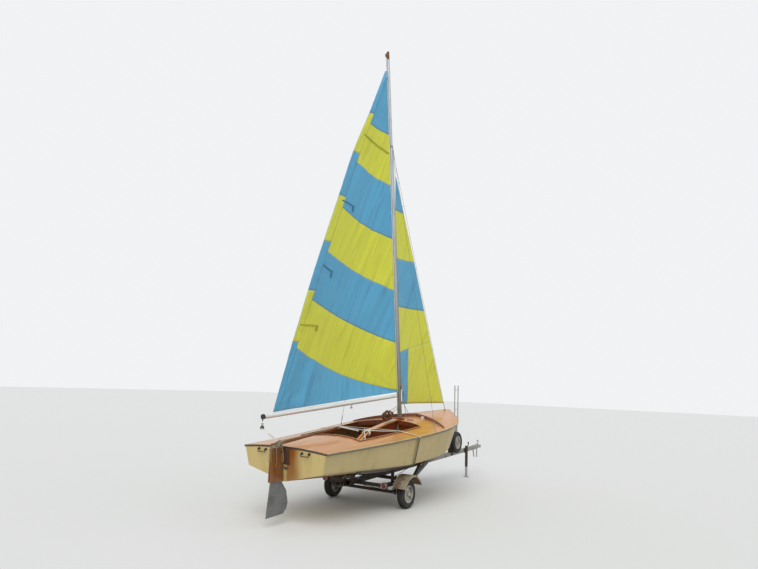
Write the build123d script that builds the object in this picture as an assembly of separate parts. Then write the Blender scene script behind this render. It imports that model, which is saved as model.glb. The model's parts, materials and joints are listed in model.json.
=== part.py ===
"""Plywood sailing dinghy, rigged, standing on its road trailer with the jack down.

Millimetres. +X is the bow and the trailer's coupler, +Y is port, +Z is up, and the floor is Z = 0.
Every x in this file is measured from the trailer's axle, and every height from GROUND_Z below the
floor. The finished solids are then shifted by AXLE_X and GROUND_Z, which puts the origin on the floor
at the middle of the whole object's length.
"""
from build123d import *
from math import atan2, cos, degrees, hypot, pi, radians, sin
import os

AXLE_X = -1159.0
GROUND_Z = 30.0                         # height of the floor in this file's numbers

# Hull
TRANSOM_X = -2146.0
LENGTH = 5133.0
SHEER_Z = (1006.0, 231.0, 243.0)        # height of the deck edge: a + b s + c s^2, s from 0 aft to 1
CROWN = 7.78e-5                         # rise of the deck amidships per square mm of half-breadth
PLY = 9.0
DECK_PLY = 8.0
TRANSOM_PLY = 18.0
KEEL_HALF = 18.0
# sheer x, sheer half-breadth, chine x, chine half-breadth, chine z, keel x, keel z
STATIONS = [
    (-2146, 713, -2111, 655, 742, -2092, 604),
    (-1500, 784, -1480, 715, 737, -1470, 575),
    (-860, 860, -850, 785, 722, -850, 548),
    (-220, 931, -220, 850, 715, -220, 530),
    (420, 986, 420, 885, 752, 420, 540),
    (1060, 978, 1030, 870, 805, 1010, 575),
    (1600, 845, 1540, 730, 880, 1500, 640),
    (2050, 640, 1960, 530, 960, 1900, 735),
    (2450, 375, 2330, 320, 1035, 2260, 860),
    (2760, 165, 2630, 140, 1100, 2540, 985),
    (2972, 32, 2796, 31, 1142, 2725, 1078),
]

# Cockpit opening, from above
COCKPIT_FRONT = (560.0, 650.0, 800.0)   # corner x, corner y, x at the centreline
COCKPIT_SIDE = (-200.0, 620.0)          # widest point of the side
COCKPIT_AFT = (-1150.0, 555.0, -1000.0) # corner x, corner y, x at the centreline
COAMING = 14.0
COAMING_TOP = 24.0
COAMING_DROP = 55.0
BULKHEADS = (-1300.0, 980.0)
FRAMES = (-600.0, 100.0)
FLOOR_AFT = (-1287.0, 692.0)            # x, z of the cockpit floor's ends
FLOOR_FORE = (970.0, 762.0)
TRUNK_TOP = [(-330.0, 1026.0), (-90.0, 1153.0), (765.0, 1312.0)]    # x, z along the trunk's top
TRUNK_HALF = 34.0
CAP_WIDTH, CAP_THICK, CAP_OVERHANG = 112.0, 22.0, 60.0
SPLASH = [(1575, -2, 58), (1330, 330, 58), (1080, 660, 48), (830, 950, 20)]     # x, y, height
HANDLES_Y = (-384.0, 384.0)
HANDLE_DROP = 18.0                      # rosettes below the deck's edge, along the transom
HANDLE_HALF = 62.0

# Rig
MAST_FOOT = (963.0, 1351.0)             # x, z on the mast's axis
MAST_TOP = (73.0, 8166.0)
MAST_R = (38.0, 28.0)                   # radius at the foot and at the top
MAST_WALL = 3.0
PLUG = 150.0                            # length of the wooden plug in the mast's top
POST_X = 915.0                          # pillar below the mast's step
LUFF_AFT = 66.0                         # the luff and the boom's pin lie this far behind the axis
HOUNDS_Z = 6340.0
CHAINPLATE = (480.0, 958.0)             # x, y
FORESTAY_DECK_X = 2830.0
STAY_R = 2.5
BOOM_SWING = 5.0                        # degrees to port, as it lies
GOOSENECK_Z = 1760.0
BOOM_END = (-2340.0, 1425.0)            # x, z with the boom on the centreline
BOOM_R = 33.0
CLOTH = 5.0
CAMBER = 0.07                           # draught of the mainsail as a part of its chord
FOOT_CAMBER = 0.02                      # the same along the boom
JIB_CAMBER = 0.05
SEAM_SAG = 0.03                         # drop of a seam's middle as a part of its chord
PIN_R = 5.0
PIN_GAP = 0.08

# Mainsail seams from the head down: leech x, leech z, luff z, colour of the panel below
MAIN_SEAMS = [
    (14, 7738, 7753, "blue"),
    (-385, 6730, 6560, "yellow"),
    (-760, 5865, 5590, "blue"),
    (-1060, 4995, 4615, "yellow"),
    (-1355, 4140, 3650, "blue"),
    (-1630, 3300, 2715, "yellow"),
    (-1875, 2495, 1900, "blue"),
    (-2150, 1486, 1812, None),
]
# Jib seams from the head down: leech x, leech z, luff x, luff z, colour of the panel below
JIB_SEAMS = [
    (505, 5835, 530, 5815, "blue"),
    (545, 5200, 855, 5202, "yellow"),
    (650, 4270, 1335, 4325, "blue"),
    (762, 3390, 1795, 3435, "yellow"),
    (872, 2530, 2110, 2833, "yellow"),
    (1035, 1600, 2755, 1612, None),
]
JIB_STRIP_X = 1300.0                    # the lowest panel is blue from the leech to here

# Rudder
TRANSOM_LEAN = degrees(atan2(54.0, 402.0))
PINTLE_BEHIND = 26.0                    # pintle axis behind the transom's after face
PINTLE_Z = (985.0, 775.0)
BLADE_PIVOT = (-2272.0, 702.0)
HUB_R = 84.0
BLADE_PLATE = 6.0
HEAD_HALF = 22.0                        # half the rudder head's thickness
PAD = (210.0, 6.0, 1032.0, 812.0)       # wooden pad on the transom: width, thickness, top and foot z
# Tiller from aft: x, z, width, height
TILLER = [(-2418, 1074, 28, 46), (-2100, 1112, 28, 44), (-1700, 1158, 34, 34), (-966, 1250, 26, 26)]

# Trailer
TRACK = 1425.0
WHEEL_Z = 246.0
TYRE_R, TYRE_W = 216.0, 118.0
TYRE_FACETS = 64
RIM_R = 128.0
SPINDLE_R = 15.0
TONGUE = 76.0
TONGUE_WALL = 4.0
TONGUE_Z0, TONGUE_RISE = 430.0, 0.042   # height of its axis over the axle, and rise per mm
TONGUE_X = (-620.0, 4510.0)
COUPLER_X = 4706.0
BALL_R = 25.6
KNOB_X = 4636.0
JACK_X = 3820.0
JACK_R = 30.0
CARRIER_X = 3410.0
CRUTCH_Z = (1300.0, 1990.0)
CRUTCH_HALF = 38.0
SPARE = (3140.0, -124.0, 808.0)
RAIL_X = (-420.0, 560.0)
RAIL_Y, RAIL_Z = 520.0, 392.0
DIAGONAL_X = (520.0, 1980.0)
CROSS_X = (-390.0, 400.0)
LASHING_X = -80.0
SPRING_Z, SPRING_ARCH = 289.0, 53.0     # top leaf over the axle, and its rise to the ends
LEAVES = [(640, 0), (440, 8), (240, 16)]        # length, drop of each leaf
LEAF = 8.0
AXLE_R = 25.0
TUBE_WALL = 4.0
GUARD_R, GUARD_W = 296.0, 230.0
GUARD_ANGLES = (24.0, 158.0)
BUNK_Y = 510.0
BUNK_X = (-1080.0, -480.0, 120.0, 560.0, 960.0)
# Posts below the bunks: foot x, foot y, foot z, head x, head y
BUNK_POSTS = [(-105, 512, 422, -105, 512), (700, 466, 424, 900, 500)]
ROLLER_X = (-600.0, 1500.0)
ROLLER_DROP = 43.6                      # roller's axis below the keel's line
LAMP = (-438.0, 562.0, 404.0)


def faired(rows, steps=2):
    """Rows of a table with more rows between them, on a smooth curve through each column."""
    before = tuple(2 * a - b for a, b in zip(rows[0], rows[1]))
    after = tuple(2 * a - b for a, b in zip(rows[-1], rows[-2]))
    padded = [before] + rows + [after]
    fine = []
    for p, q, r, s in zip(padded, padded[1:], padded[2:], padded[3:]):
        for k in range(steps):
            t = k / steps
            fine.append(tuple(
                b + 0.5 * t * (c - a + t * (2 * a - 5 * b + 4 * c - d + t * (3 * (b - c) + d - a)))
                for a, b, c, d in zip(p, q, r, s)))
    return fine + [rows[-1]]


HULL = faired(STATIONS)


def sheer_z(x):
    s = (x - TRANSOM_X) / LENGTH
    return SHEER_Z[0] + SHEER_Z[1] * s + SHEER_Z[2] * s * s


def between(x, table, column, x_column=0):
    """Straight-line value of a column of the stations at x."""
    rows = list(zip(table, table[1:]))
    for a, b in rows:
        if x <= b[x_column] or b is table[-1]:
            t = (x - a[x_column]) / (b[x_column] - a[x_column])
            return a[column] + t * (b[column] - a[column])


def half_breadth(x):
    return between(x, HULL, 1)


def deck_z(x, y):
    b = half_breadth(x)
    return sheer_z(x) + CROWN * max(0.0, b * b - y * y)


def bottom_z(x, y):
    chine_y = between(x, HULL, 3, 2)
    chine_z = between(x, HULL, 4, 2)
    keel_z = between(x, HULL, 6, 5)
    return keel_z + (chine_z - keel_z) * abs(y) / chine_y


def mast_x(z):
    (x0, z0), (x1, z1) = MAST_FOOT, MAST_TOP
    return x0 + (x1 - x0) * (z - z0) / (z1 - z0)


MAST_DIR = (Vector(MAST_TOP[0], 0, MAST_TOP[1]) - Vector(MAST_FOOT[0], 0, MAST_FOOT[1])).normalized()
AFT = Vector(-MAST_DIR.Z, 0, MAST_DIR.X)


def on_mast(z, aft=0.0, y=0.0):
    """Point beside the mast's axis where that axis is at height z."""
    return Vector(mast_x(z), y, z) + AFT * aft


def luff_point(z):
    """Point of the luff line at height z."""
    shift = LUFF_AFT / MAST_DIR.Z
    return Vector(mast_x(z) - shift, 0, z)


BOOM_AXIS = Axis(tuple(on_mast(GOOSENECK_Z, LUFF_AFT)), tuple(MAST_DIR))


# Shapes used all over

def polygon(points):
    return Face(Wire.make_polygon([Vector(*p) for p in points], close=True))


def slab(points_xz, y0, y1):
    """Plate from an outline in the centreplane, between two values of y."""
    return extrude(polygon([(x, y0, z) for x, z in points_xz]), amount=y1 - y0, dir=(0, 1, 0))


def rod(a, b, radius, radius_b=None, wall=None):
    """Round bar or tube from a to b."""
    a, b = Vector(*a), Vector(*b)
    plane = Plane(origin=a, z_dir=(b - a))
    length = (b - a).length
    r1 = radius if radius_b is None else radius_b

    def body(r, s, start, end):
        if abs(r - s) < 1e-6:
            solid = Cylinder(r, end - start, align=(Align.CENTER, Align.CENTER, Align.MIN))
        else:
            solid = Cone(r, s, end - start, align=(Align.CENTER, Align.CENTER, Align.MIN))
        return plane * Pos(0, 0, start) * solid
    tube = body(radius, r1, 0, length)
    if wall:
        tube = tube - body(radius - wall, r1 - wall, -1, length + 1)
    return tube


def bar(a, b, width, height, up=(0, 0, 1), wall=None):
    """Square-cut bar or box tube from a to b, height measured along up."""
    a, b = Vector(*a), Vector(*b)
    side = Vector(*up).cross(b - a).normalized()
    plane = Plane(origin=a, x_dir=side, z_dir=(b - a))
    length = (b - a).length
    low = (Align.CENTER, Align.CENTER, Align.MIN)
    beam = plane * Box(width, height, length, align=low)
    if wall:
        inner = Box(width - 2 * wall, height - 2 * wall, length + 2, align=low)
        beam = beam - plane * Pos(0, 0, -1) * inner
    return beam


def one(*pieces):
    """Fuse pieces that touch, or gather pieces that don't."""
    whole = pieces[0]
    for piece in pieces[1:]:
        whole = whole + piece
    return whole


def largest(shape):
    """The main solid of a cut shape, without its crumbs."""
    return max(shape.solids(), key=lambda solid: solid.volume)


def skin(upper, lower, thickness, toward):
    """Loft a panel between two rows of points; toward is the side that its thickness grows to."""
    middle = [(a + b) * 0.5 for a, b in zip(upper, lower)]
    last = len(middle) - 1
    sections = []
    for i, (a, b) in enumerate(zip(upper, lower)):
        along = middle[min(i + 1, last)] - middle[max(i - 1, 0)]
        normal = along.cross(a - b).normalized()
        if normal.dot(Vector(*toward)) < 0:
            normal = normal * -1
        offset = normal * thickness
        sections.append(polygon([tuple(p) for p in (a, b, b + offset, a + offset)]))
    return loft(sections, ruled=True)


# Hull

def hull_lines(side):
    """Rows of points along the sheer and chine of one side, and along the bottom's edge by the keel."""
    sheer = [Vector(r[0], side * r[1], sheer_z(r[0])) for r in HULL]
    chine = [Vector(r[2], side * r[3], r[4]) for r in HULL]
    keel_edge = []
    for r in HULL:
        y = KEEL_HALF
        for _ in range(3):
            y = KEEL_HALF + 0.6 + PLY * (r[4] - r[6]) / hypot(r[3] - y, r[4] - r[6])
        keel_edge.append(Vector(r[5], side * y, r[6]))
    return sheer, chine, keel_edge


def stem():
    x, z = HULL[-3][5], HULL[-3][6]
    face = [(x, z - 14), (2630, 1012), (2738, 1064), (2815, 1132), (2998, sheer_z(2972) - 5),
            (2930, sheer_z(2930) - 5), (2770, 1165), (2690, 1110), (x, z + 26)]
    return slab(face, -20, 20)


def keel():
    sections = []
    for row in HULL[:-2]:
        x, z = row[5], row[6]
        sections.append(polygon([(x, y, z + h) for y, h in ((-18, -14), (18, -14), (18, 26), (-18, 26))]))
    return loft(sections, ruled=True)


def crowned(x, half, low, high):
    """Section of the deck at x, between two heights above the deck line."""
    z = sheer_z(x)
    mid = z + CROWN * half * half
    top = Edge.make_three_point_arc((x, -half, z + high), (x, 0, mid + high), (x, half, z + high))
    bottom = Edge.make_three_point_arc((x, half, z + low), (x, 0, mid + low), (x, -half, z + low))
    right = Edge.make_line((x, half, z + high), (x, half, z + low))
    left = Edge.make_line((x, -half, z + low), (x, -half, z + high))
    return Face(Wire([top, right, bottom, left]))


def deck_band(low, high, inset=0.0):
    rows = [(TRANSOM_X - TRANSOM_PLY - 4, 711.0)] + [(r[0], r[1]) for r in HULL]
    return loft([crowned(x, half - inset, low, high) for x, half in rows], ruled=True)


def cockpit_outline():
    fx, fy, f0 = COCKPIT_FRONT
    ax, ay, a0 = COCKPIT_AFT
    sx, sy = COCKPIT_SIDE
    return Face(Wire([
        Edge.make_three_point_arc((fx, -fy, 0), (f0, 0, 0), (fx, fy, 0)),
        Edge.make_three_point_arc((fx, fy, 0), (sx, sy, 0), (ax, ay, 0)),
        Edge.make_three_point_arc((ax, ay, 0), (a0, 0, 0), (ax, -ay, 0)),
        Edge.make_three_point_arc((ax, -ay, 0), (sx, -sy, 0), (fx, -fy, 0)),
    ]))


def prism(face, z0, z1):
    return Pos(0, 0, z0) * extrude(face, amount=z1 - z0, dir=(0, 0, 1))


def section_face(sx, inset):
    """Full cross-section of the hull at x, drawn in by inset."""
    sy, kz = half_breadth(sx), between(sx, HULL, 6, 5)
    cy, cz = between(sx, HULL, 3, 2), between(sx, HULL, 4, 2)
    top = sheer_z(sx) - 2.5
    half, mid = sy - inset, top + CROWN * sy * sy
    arc = Edge.make_three_point_arc((sx, -half, top), (sx, 0, mid), (sx, half, top))
    points = [(half, top), (cy - inset, cz + inset * 0.3), (0, kz + inset)]
    points += [(-y, z) for y, z in points[1::-1]]
    lines = [Edge.make_line((sx, *a), (sx, *b)) for a, b in zip(points, points[1:])]
    return Face(Wire([arc] + lines))


def hull():
    plank = keel() + stem()
    parts = {"keel": plank}
    panels = {}
    for side, name in ((1, "port"), (-1, "starboard")):
        sheer, chine, keel_line = hull_lines(side)
        below_deck = [Vector(p.X, p.Y, p.Z - 4.5) for p in sheer]
        above_chine = [c + (p - c) * (10.5 / (p.Z - c.Z)) for p, c in zip(sheer, chine)]
        panels["topside_" + name] = skin(below_deck, above_chine, PLY, (0, -side, 0))
        panels["bottom_" + name] = skin(chine, keel_line, PLY, (0, -0.3 * side, 1))
    parts["topside_panels"] = panels["topside_port"] + panels["topside_starboard"]
    parts["bottom_panels"] = panels["bottom_port"] + panels["bottom_starboard"]
    skins = list(panels.values())
    opening = prism(cockpit_outline(), 0, 2000)

    parts["deck"] = deck_band(0, DECK_PLY) - opening - chainplates()
    ring = cockpit_outline() - offset(cockpit_outline(), -COAMING)
    parts["coaming"] = deck_band(-COAMING_DROP, COAMING_TOP) & prism(ring, 0, 2000)

    def fitted(solid):
        for piece in skins + [plank]:
            solid = solid - piece
        return largest(solid)
    parts["transom"] = fitted(transom())
    fore = extrude(section_face(BULKHEADS[1], 4), amount=12, dir=(1, 0, 0))
    aft = extrude(section_face(BULKHEADS[0], 4), amount=12, dir=(1, 0, 0))
    frames = fitted(fore) + fitted(aft)
    for x in FRAMES:
        ring_frame = extrude(section_face(x, 4), amount=18, dir=(1, 0, 0))
        half = between(x, HULL, 3, 2)
        floor_z = floor_height(x) - 1
        cut = Pos(x, 0, floor_z) * Box(80, 2 * half - 110, 700, align=(Align.CENTER, Align.CENTER, Align.MIN))
        frames = frames + (fitted(ring_frame) - cut - trunk_space() - opening)
    parts["bulkheads"] = frames
    parts["cockpit_floor"] = largest(floor_board() - trunk_space() - mast_post())
    return parts


def transom():
    """After end of the hull, in a plane that leans aft at its top."""
    plane = Plane(origin=(TRANSOM_X, 0, SHEER_Z[0]), x_dir=(0, 1, 0),
                  z_dir=(-cos(radians(TRANSOM_LEAN)), 0, -sin(radians(TRANSOM_LEAN))))
    down = 1 / cos(radians(TRANSOM_LEAN))
    sheer_y, chine_y = STATIONS[0][1], STATIONS[0][3]
    chine_v = (SHEER_Z[0] - STATIONS[0][4]) * down
    keel_v = (SHEER_Z[0] - STATIONS[0][6] + 12) * down
    rise = CROWN * sheer_y * sheer_y
    sign = 1 if plane.y_dir.Z > 0 else -1
    outline = [(sheer_y, 0), (chine_y, -chine_v), (26, -keel_v), (-26, -keel_v), (-chine_y, -chine_v),
               (-sheer_y, 0)]
    points = [Vector(y, sign * v, 0) for y, v in outline]
    edges = [Edge.make_line(a, b) for a, b in zip(points, points[1:])]
    edges.append(Edge.make_three_point_arc(points[-1], (0, sign * rise, 0), points[0]))
    return plane * extrude(Face(Wire(edges)), amount=TRANSOM_PLY, dir=(0, 0, 1))


def floor_height(x):
    (x0, z0), (x1, z1) = FLOOR_AFT, FLOOR_FORE
    return z0 + (z1 - z0) * (x - x0) / (x1 - x0)


def floor_board():
    (x0, z0), (x1, z1) = FLOOR_AFT, FLOOR_FORE
    starboard = [(x0, -470), (-600, -590), (100, -640), (x1, -560)]
    outline = starboard + [(x, -y) for x, y in starboard[::-1]]
    flat = extrude(polygon([(x, y, 0) for x, y in outline]), amount=PLY, dir=(0, 0, 1))
    flat = Pos(-x0, 0, 0) * flat
    return Pos(x0, 0, z0) * Rot(0, -degrees(atan2(z1 - z0, x1 - x0)), 0) * flat


def trunk_space():
    x0, x1 = TRUNK_TOP[0][0], TRUNK_TOP[-1][0]
    return Pos(x0, -TRUNK_HALF, 400) * Box(x1 - x0, 2 * TRUNK_HALF, 950, align=Align.MIN)


def trunk():
    """Centreboard case: two planks with end posts, open above for the board's head."""
    x0, x1 = TRUNK_TOP[0][0], TRUNK_TOP[-1][0]
    foot = [(x0, bottom_z(x0, 0) + 28), (x1, bottom_z(x1, 0) + 28)]
    outer = slab(foot + TRUNK_TOP[::-1], -TRUNK_HALF, TRUNK_HALF)
    slot = slab([(x0 + 40, 560), (x1 - 40, 600), (x1 - 40, 1400), (x0 + 40, 1400)], -12, 12)
    return outer - slot


def centreboard():
    """Plate drawn up inside its case; the tongue under the keel keeps it there."""
    x0, x1 = TRUNK_TOP[0][0] + 50, TRUNK_TOP[-1][0] - 50
    return slab([(x0, 575), (x1, 625), (x1, 1200), (x0 + 190, 1105), (x0, 1030)], -8, 8)


def trunk_cap():
    """Board that lies along the trunk's bent top, with a slot for the centreboard's head."""
    (xa, za), (xb, zb), (xc, zc) = TRUNK_TOP
    start = (xa - CAP_OVERHANG, za - CAP_OVERHANG * (zb - za) / (xb - xa))
    end = (xc + 16, zc + 16 * (zc - zb) / (xc - xb))
    low = [(x, z + 0.3) for x, z in (start, (xb, zb), end)]
    high = [(x, z + CAP_THICK) for x, z in low[::-1]]
    board = slab(low + high, -CAP_WIDTH / 2, CAP_WIDTH / 2)
    slot = Pos(xa - 70, 0, 0) * Box(330, 26, 3000, align=(Align.MIN, Align.CENTER, Align.CENTER))
    return board - slot


def rub_rail(side):
    sheer, chine, _ = hull_lines(side)
    def down(p, c, drop):
        return p + (c - p) * (drop / (p.Z - c.Z)) + Vector(0, 2.2 * side, 0)
    upper = [down(p, c, -DECK_PLY - 2) for p, c in zip(sheer, chine)]
    lower = [down(p, c, 20) for p, c in zip(sheer, chine)]
    return skin(upper, lower, 20, (0, side, 0))


def splash_rail():
    """Curved V board on the foredeck that throws spray outboard."""
    arms = None
    lean = 14
    for side in (1, -1):
        sections = []
        for x, y, h in SPLASH:
            z = deck_z(x, y) + DECK_PLY
            sections.append(polygon([(x, side * y, z - 6), (x + 14, side * y, z - 6),
                                     (x + 14 + lean, side * y, z + h), (x + lean, side * y, z + h)]))
        arm = loft(sections)
        arms = arm if arms is None else arms + arm
    return arms - deck_band(-60, DECK_PLY)


def chainplates():
    x, y = CHAINPLATE
    plates = []
    for side in (1, -1):
        z = deck_z(x, y)
        lug = slab([(x - 14, z - 60), (x + 14, z - 60), (x + 10, z + 42), (x - 10, z + 42)], y - 2, y + 2)
        lug = lug - Pos(x, y, z + 32) * Rot(90, 0, 0) * Cylinder(4, 20)
        plates.append(lug if side > 0 else mirror(lug, about=Plane.XZ))
    return one(*plates)


def lift_handles():
    """Two bail handles on the transom, each between round feet."""
    lean = radians(TRANSOM_LEAN)
    out, down = Vector(-cos(lean), 0, -sin(lean)), Vector(sin(lean), 0, -cos(lean))
    pieces = []
    for y in HANDLES_Y:
        base = Vector(TRANSOM_X, y, SHEER_Z[0]) + down * HANDLE_DROP + out * TRANSOM_PLY
        loop = [base + Vector(0, s * HANDLE_HALF, 0) + out * 30 + down * d
                for s, d in ((-1, 0), (-1, 34), (1, 34), (1, 0))]
        grip = one(*[rod(tuple(a), tuple(b), 6) for a, b in zip(loop, loop[1:])],
                   *[Pos(*p) * Sphere(6) for p in loop[1:3]])
        for s in (-1, 1):
            centre = base + Vector(0, s * HANDLE_HALF, 0)
            grip = grip + rod(tuple(centre), tuple(centre + out * 6), 18)
            grip = grip + rod(tuple(centre), tuple(centre + out * 36), 8)
        pieces.append(grip)
    return one(*pieces)


def transom_pad():
    """Hardwood pad on the transom that the upper gudgeon is screwed to."""
    width, thick, top, foot = PAD
    high, low = pintle_point(top), pintle_point(foot)
    inner = RUDDER_AFT * (thick / 2 - PINTLE_BEHIND)
    return bar(tuple(low + inner), tuple(high + inner), width, thick, up=tuple(RUDDER_AFT)) - gudgeons()


# Rig

def mast(wall=MAST_WALL):
    foot, top = on_mast(MAST_FOOT[1]), on_mast(MAST_TOP[1] - PLUG)
    return rod(tuple(foot), tuple(top), MAST_R[0], MAST_R[1], wall)


def mast_track():
    """External track up the after side of the mast that carries the sail's slides."""
    a, b = on_mast(GOOSENECK_Z + 60), on_mast(MAST_TOP[1] - 160)
    centre_a = a + AFT * (MAST_R[0] + 4)
    centre_b = b + AFT * (MAST_R[1] + 9)
    track = bar(tuple(centre_a), tuple(centre_b), 12, 20, up=tuple(AFT))
    return track - mast(None)


def masthead():
    """Wooden plug with a sheave cheek on top of the tube."""
    plug = rod(tuple(on_mast(MAST_TOP[1] - PLUG)), tuple(on_mast(MAST_TOP[1])), 27, 24)
    z = MAST_TOP[1] - 90
    crane = bar(tuple(on_mast(z, 8)), tuple(on_mast(z, 78)), 30, 60, up=tuple(MAST_DIR))
    sheave = rod(tuple(on_mast(z - 2, 62, -16)), tuple(on_mast(z - 2, 62, 16)), 22)
    return plug + crane + sheave


def mast_step():
    x = MAST_FOOT[0]
    z = deck_z(x, 0) + DECK_PLY
    base = (Align.CENTER, Align.CENTER, Align.MIN)
    block = Pos(x, 0, z - 12) * Box(118, 130, MAST_FOOT[1] - z + 12, align=base)
    return block - deck_band(-60, DECK_PLY) - mast()


def mast_post():
    """Pillar under the deck that carries the mast's load to the keel."""
    low, high = bottom_z(POST_X, 0) + 29, deck_z(POST_X, 0) - 3
    return rod((POST_X, 0, low), (POST_X, 0, high), 21, wall=3)


def stays():
    """Two shrouds and the forestay, each with its turnbuckle."""
    top = on_mast(HOUNDS_Z)
    wires, screws = {}, []
    for name, end in (("shroud_port", 1), ("shroud_starboard", -1), ("forestay", 0)):
        if end:
            x, y = CHAINPLATE
            foot = Vector(x, end * y, deck_z(x, y) + 36)
            start = top + Vector(0, end * 38.5, 0)
        else:
            foot = Vector(FORESTAY_DECK_X, 0, deck_z(FORESTAY_DECK_X, 0) + 42)
            start = top - AFT * 38.5
        along = (start - foot).normalized()
        wires[name] = rod(tuple(foot + along * 150), tuple(start), STAY_R)
        barrel = rod(tuple(foot + along * 34), tuple(foot + along * 122), 7)
        rods = rod(tuple(foot + along * 12), tuple(foot + along * 150), 3.5)
        screws.append(barrel + rods)
    return wires, one(*screws)


def hounds():
    """Band with three tangs that the stays hang from."""
    low, high = on_mast(HOUNDS_Z - 24), on_mast(HOUNDS_Z + 24)
    r = MAST_R[0] + (MAST_R[1] - MAST_R[0]) * (HOUNDS_Z - MAST_FOOT[1]) / (MAST_TOP[1] - MAST_FOOT[1])
    below, above = HOUNDS_Z - 60, HOUNDS_Z + 60
    band = rod(tuple(low), tuple(high), r + 4) - rod(tuple(on_mast(below)), tuple(on_mast(above)), r + 0.5)
    slot = bar(tuple(on_mast(below, r + 6)), tuple(on_mast(above, r + 6)), 18, 24, up=tuple(AFT))
    return band - slot


def forestay_plate():
    x = FORESTAY_DECK_X
    z = deck_z(x, 0) + DECK_PLY
    base = Pos(x, 0, z) * Box(90, 30, 5, align=(Align.CENTER, Align.CENTER, Align.MIN))
    lug = slab([(x - 14, z + 4), (x + 14, z + 4), (x + 9, z + 40), (x - 9, z + 40)], -2, 2)
    return base + lug - Pos(x, 0, z + 30) * Rot(90, 0, 0) * Cylinder(4, 20) - deck_band(-60, DECK_PLY)


def cloth_section(luff, leech, camber, sag=0.0):
    """Thin crescent between two points of the centreplane, bellied to port."""
    bulge = Vector(0, camber, -sag)
    side = bulge.normalized() * CLOTH
    bulge = bulge * (leech - luff).length
    luff, leech = luff - side * 0.5, leech - side * 0.5
    middle = (luff + leech) * 0.5 + bulge
    near = Edge.make_three_point_arc(luff, middle, leech)
    far = Edge.make_three_point_arc(leech + side, middle + side, luff + side)
    return Face(Wire([near, Edge.make_line(leech, leech + side), far, Edge.make_line(luff + side, luff)]))


def mainsail():
    """Striped panels, one solid between each seam and the next."""
    last = len(MAIN_SEAMS) - 1
    faces = []
    for i, (leech_x, leech_z, luff_z, _) in enumerate(MAIN_SEAMS):
        camber = FOOT_CAMBER if i == last else CAMBER
        sag = SEAM_SAG if 0 < i < last else 0.0
        faces.append(cloth_section(luff_point(luff_z), Vector(leech_x, 0, leech_z), camber, sag))
    panels = {"blue": [], "yellow": []}
    for row, upper, lower in zip(MAIN_SEAMS, faces, faces[1:]):
        panels[row[3]].append(loft([upper, lower]))
    return {name: one(*solids) for name, solids in panels.items()}


def jib():
    faces = []
    for leech_x, leech_z, luff_x, luff_z, _ in JIB_SEAMS:
        faces.append(cloth_section(Vector(luff_x, 0, luff_z), Vector(leech_x, 0, leech_z), JIB_CAMBER))
    strips = [loft([a, b]) for a, b in zip(faces, faces[1:])]
    lowest = strips[-1]
    ahead = (Align.MAX, Align.CENTER, Align.CENTER)
    strip_tool = Pos(JIB_STRIP_X, 0, 2000) * Box(1000, 2000, 3000, align=ahead)
    blue = [strips[0], strips[2], lowest & strip_tool]
    yellow = [strips[1], strips[3] + (lowest - strip_tool)]
    return {"blue": one(*blue), "yellow": one(*yellow)}


def swung(shape):
    """Turn what hangs on the boom from the centreline to where it lies."""
    return shape.rotate(BOOM_AXIS, -BOOM_SWING)


def boom_line(x):
    """Point on the boom's axis, with the boom on the centreline."""
    pin = on_mast(GOOSENECK_Z, LUFF_AFT)
    t = (pin.X - x) / (pin.X - BOOM_END[0])
    return Vector(x, 0, pin.Z + t * (BOOM_END[1] - pin.Z))


def boom():
    pin_x = on_mast(GOOSENECK_Z, LUFF_AFT).X
    tube = rod(tuple(boom_line(pin_x - 62)), tuple(boom_line(BOOM_END[0] + 30)), BOOM_R, wall=3)
    return tube


def boom_cap():
    """End plug with a short becket below it for the mainsheet."""
    eye = boom_line(BOOM_END[0] + 12)
    plug = rod(tuple(boom_line(BOOM_END[0] + 30)), tuple(boom_line(BOOM_END[0])), BOOM_R + 2)
    return plug + rod(tuple(eye + Vector(0, 0, -30)), tuple(eye + Vector(0, 0, -62)), 7)


def gooseneck_mast():
    """Bracket on the mast with two ears that hold the gooseneck's pin."""
    pin = on_mast(GOOSENECK_Z, LUFF_AFT)
    ears = None
    for h in (-26, 26):
        centre = on_mast(GOOSENECK_Z) + MAST_DIR * h
        near, far = centre + AFT * (MAST_R[0] - 2), centre + AFT * (LUFF_AFT + 2)
        ear = bar(tuple(near), tuple(far), 22, 8, up=tuple(MAST_DIR))
        ear = ear + rod(tuple(pin + MAST_DIR * (h - 4)), tuple(pin + MAST_DIR * (h + 4)), 11)
        ears = ear if ears is None else ears + ear
    low, high = on_mast(GOOSENECK_Z - 50, MAST_R[0] + 1), on_mast(GOOSENECK_Z + 50, MAST_R[0] + 1)
    whole = ears + bar(tuple(low), tuple(high), 34, 8, up=tuple(AFT))
    whole = whole - rod(tuple(pin + MAST_DIR * -60), tuple(pin + MAST_DIR * 60), PIN_R + PIN_GAP)
    return whole - mast(None)


def gooseneck_boom():
    """Toggle at the boom's forward end, with its pin."""
    pin = on_mast(GOOSENECK_Z, LUFF_AFT)
    barrel = rod(tuple(pin + MAST_DIR * -21), tuple(pin + MAST_DIR * 21), 11)
    shaft = rod(tuple(pin + MAST_DIR * -36), tuple(pin + MAST_DIR * 36), PIN_R)
    tang = bar(tuple(pin + AFT * 4), tuple(boom_line(pin.X - 62)), 12, 26)
    plug = rod(tuple(boom_line(pin.X - 62)), tuple(boom_line(pin.X - 50)), BOOM_R)
    return barrel + shaft + tang + plug


# Rudder

RUDDER_UP = Vector(-sin(radians(TRANSOM_LEAN)), 0, cos(radians(TRANSOM_LEAN)))
RUDDER_AFT = Vector(-cos(radians(TRANSOM_LEAN)), 0, -sin(radians(TRANSOM_LEAN)))


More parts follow.
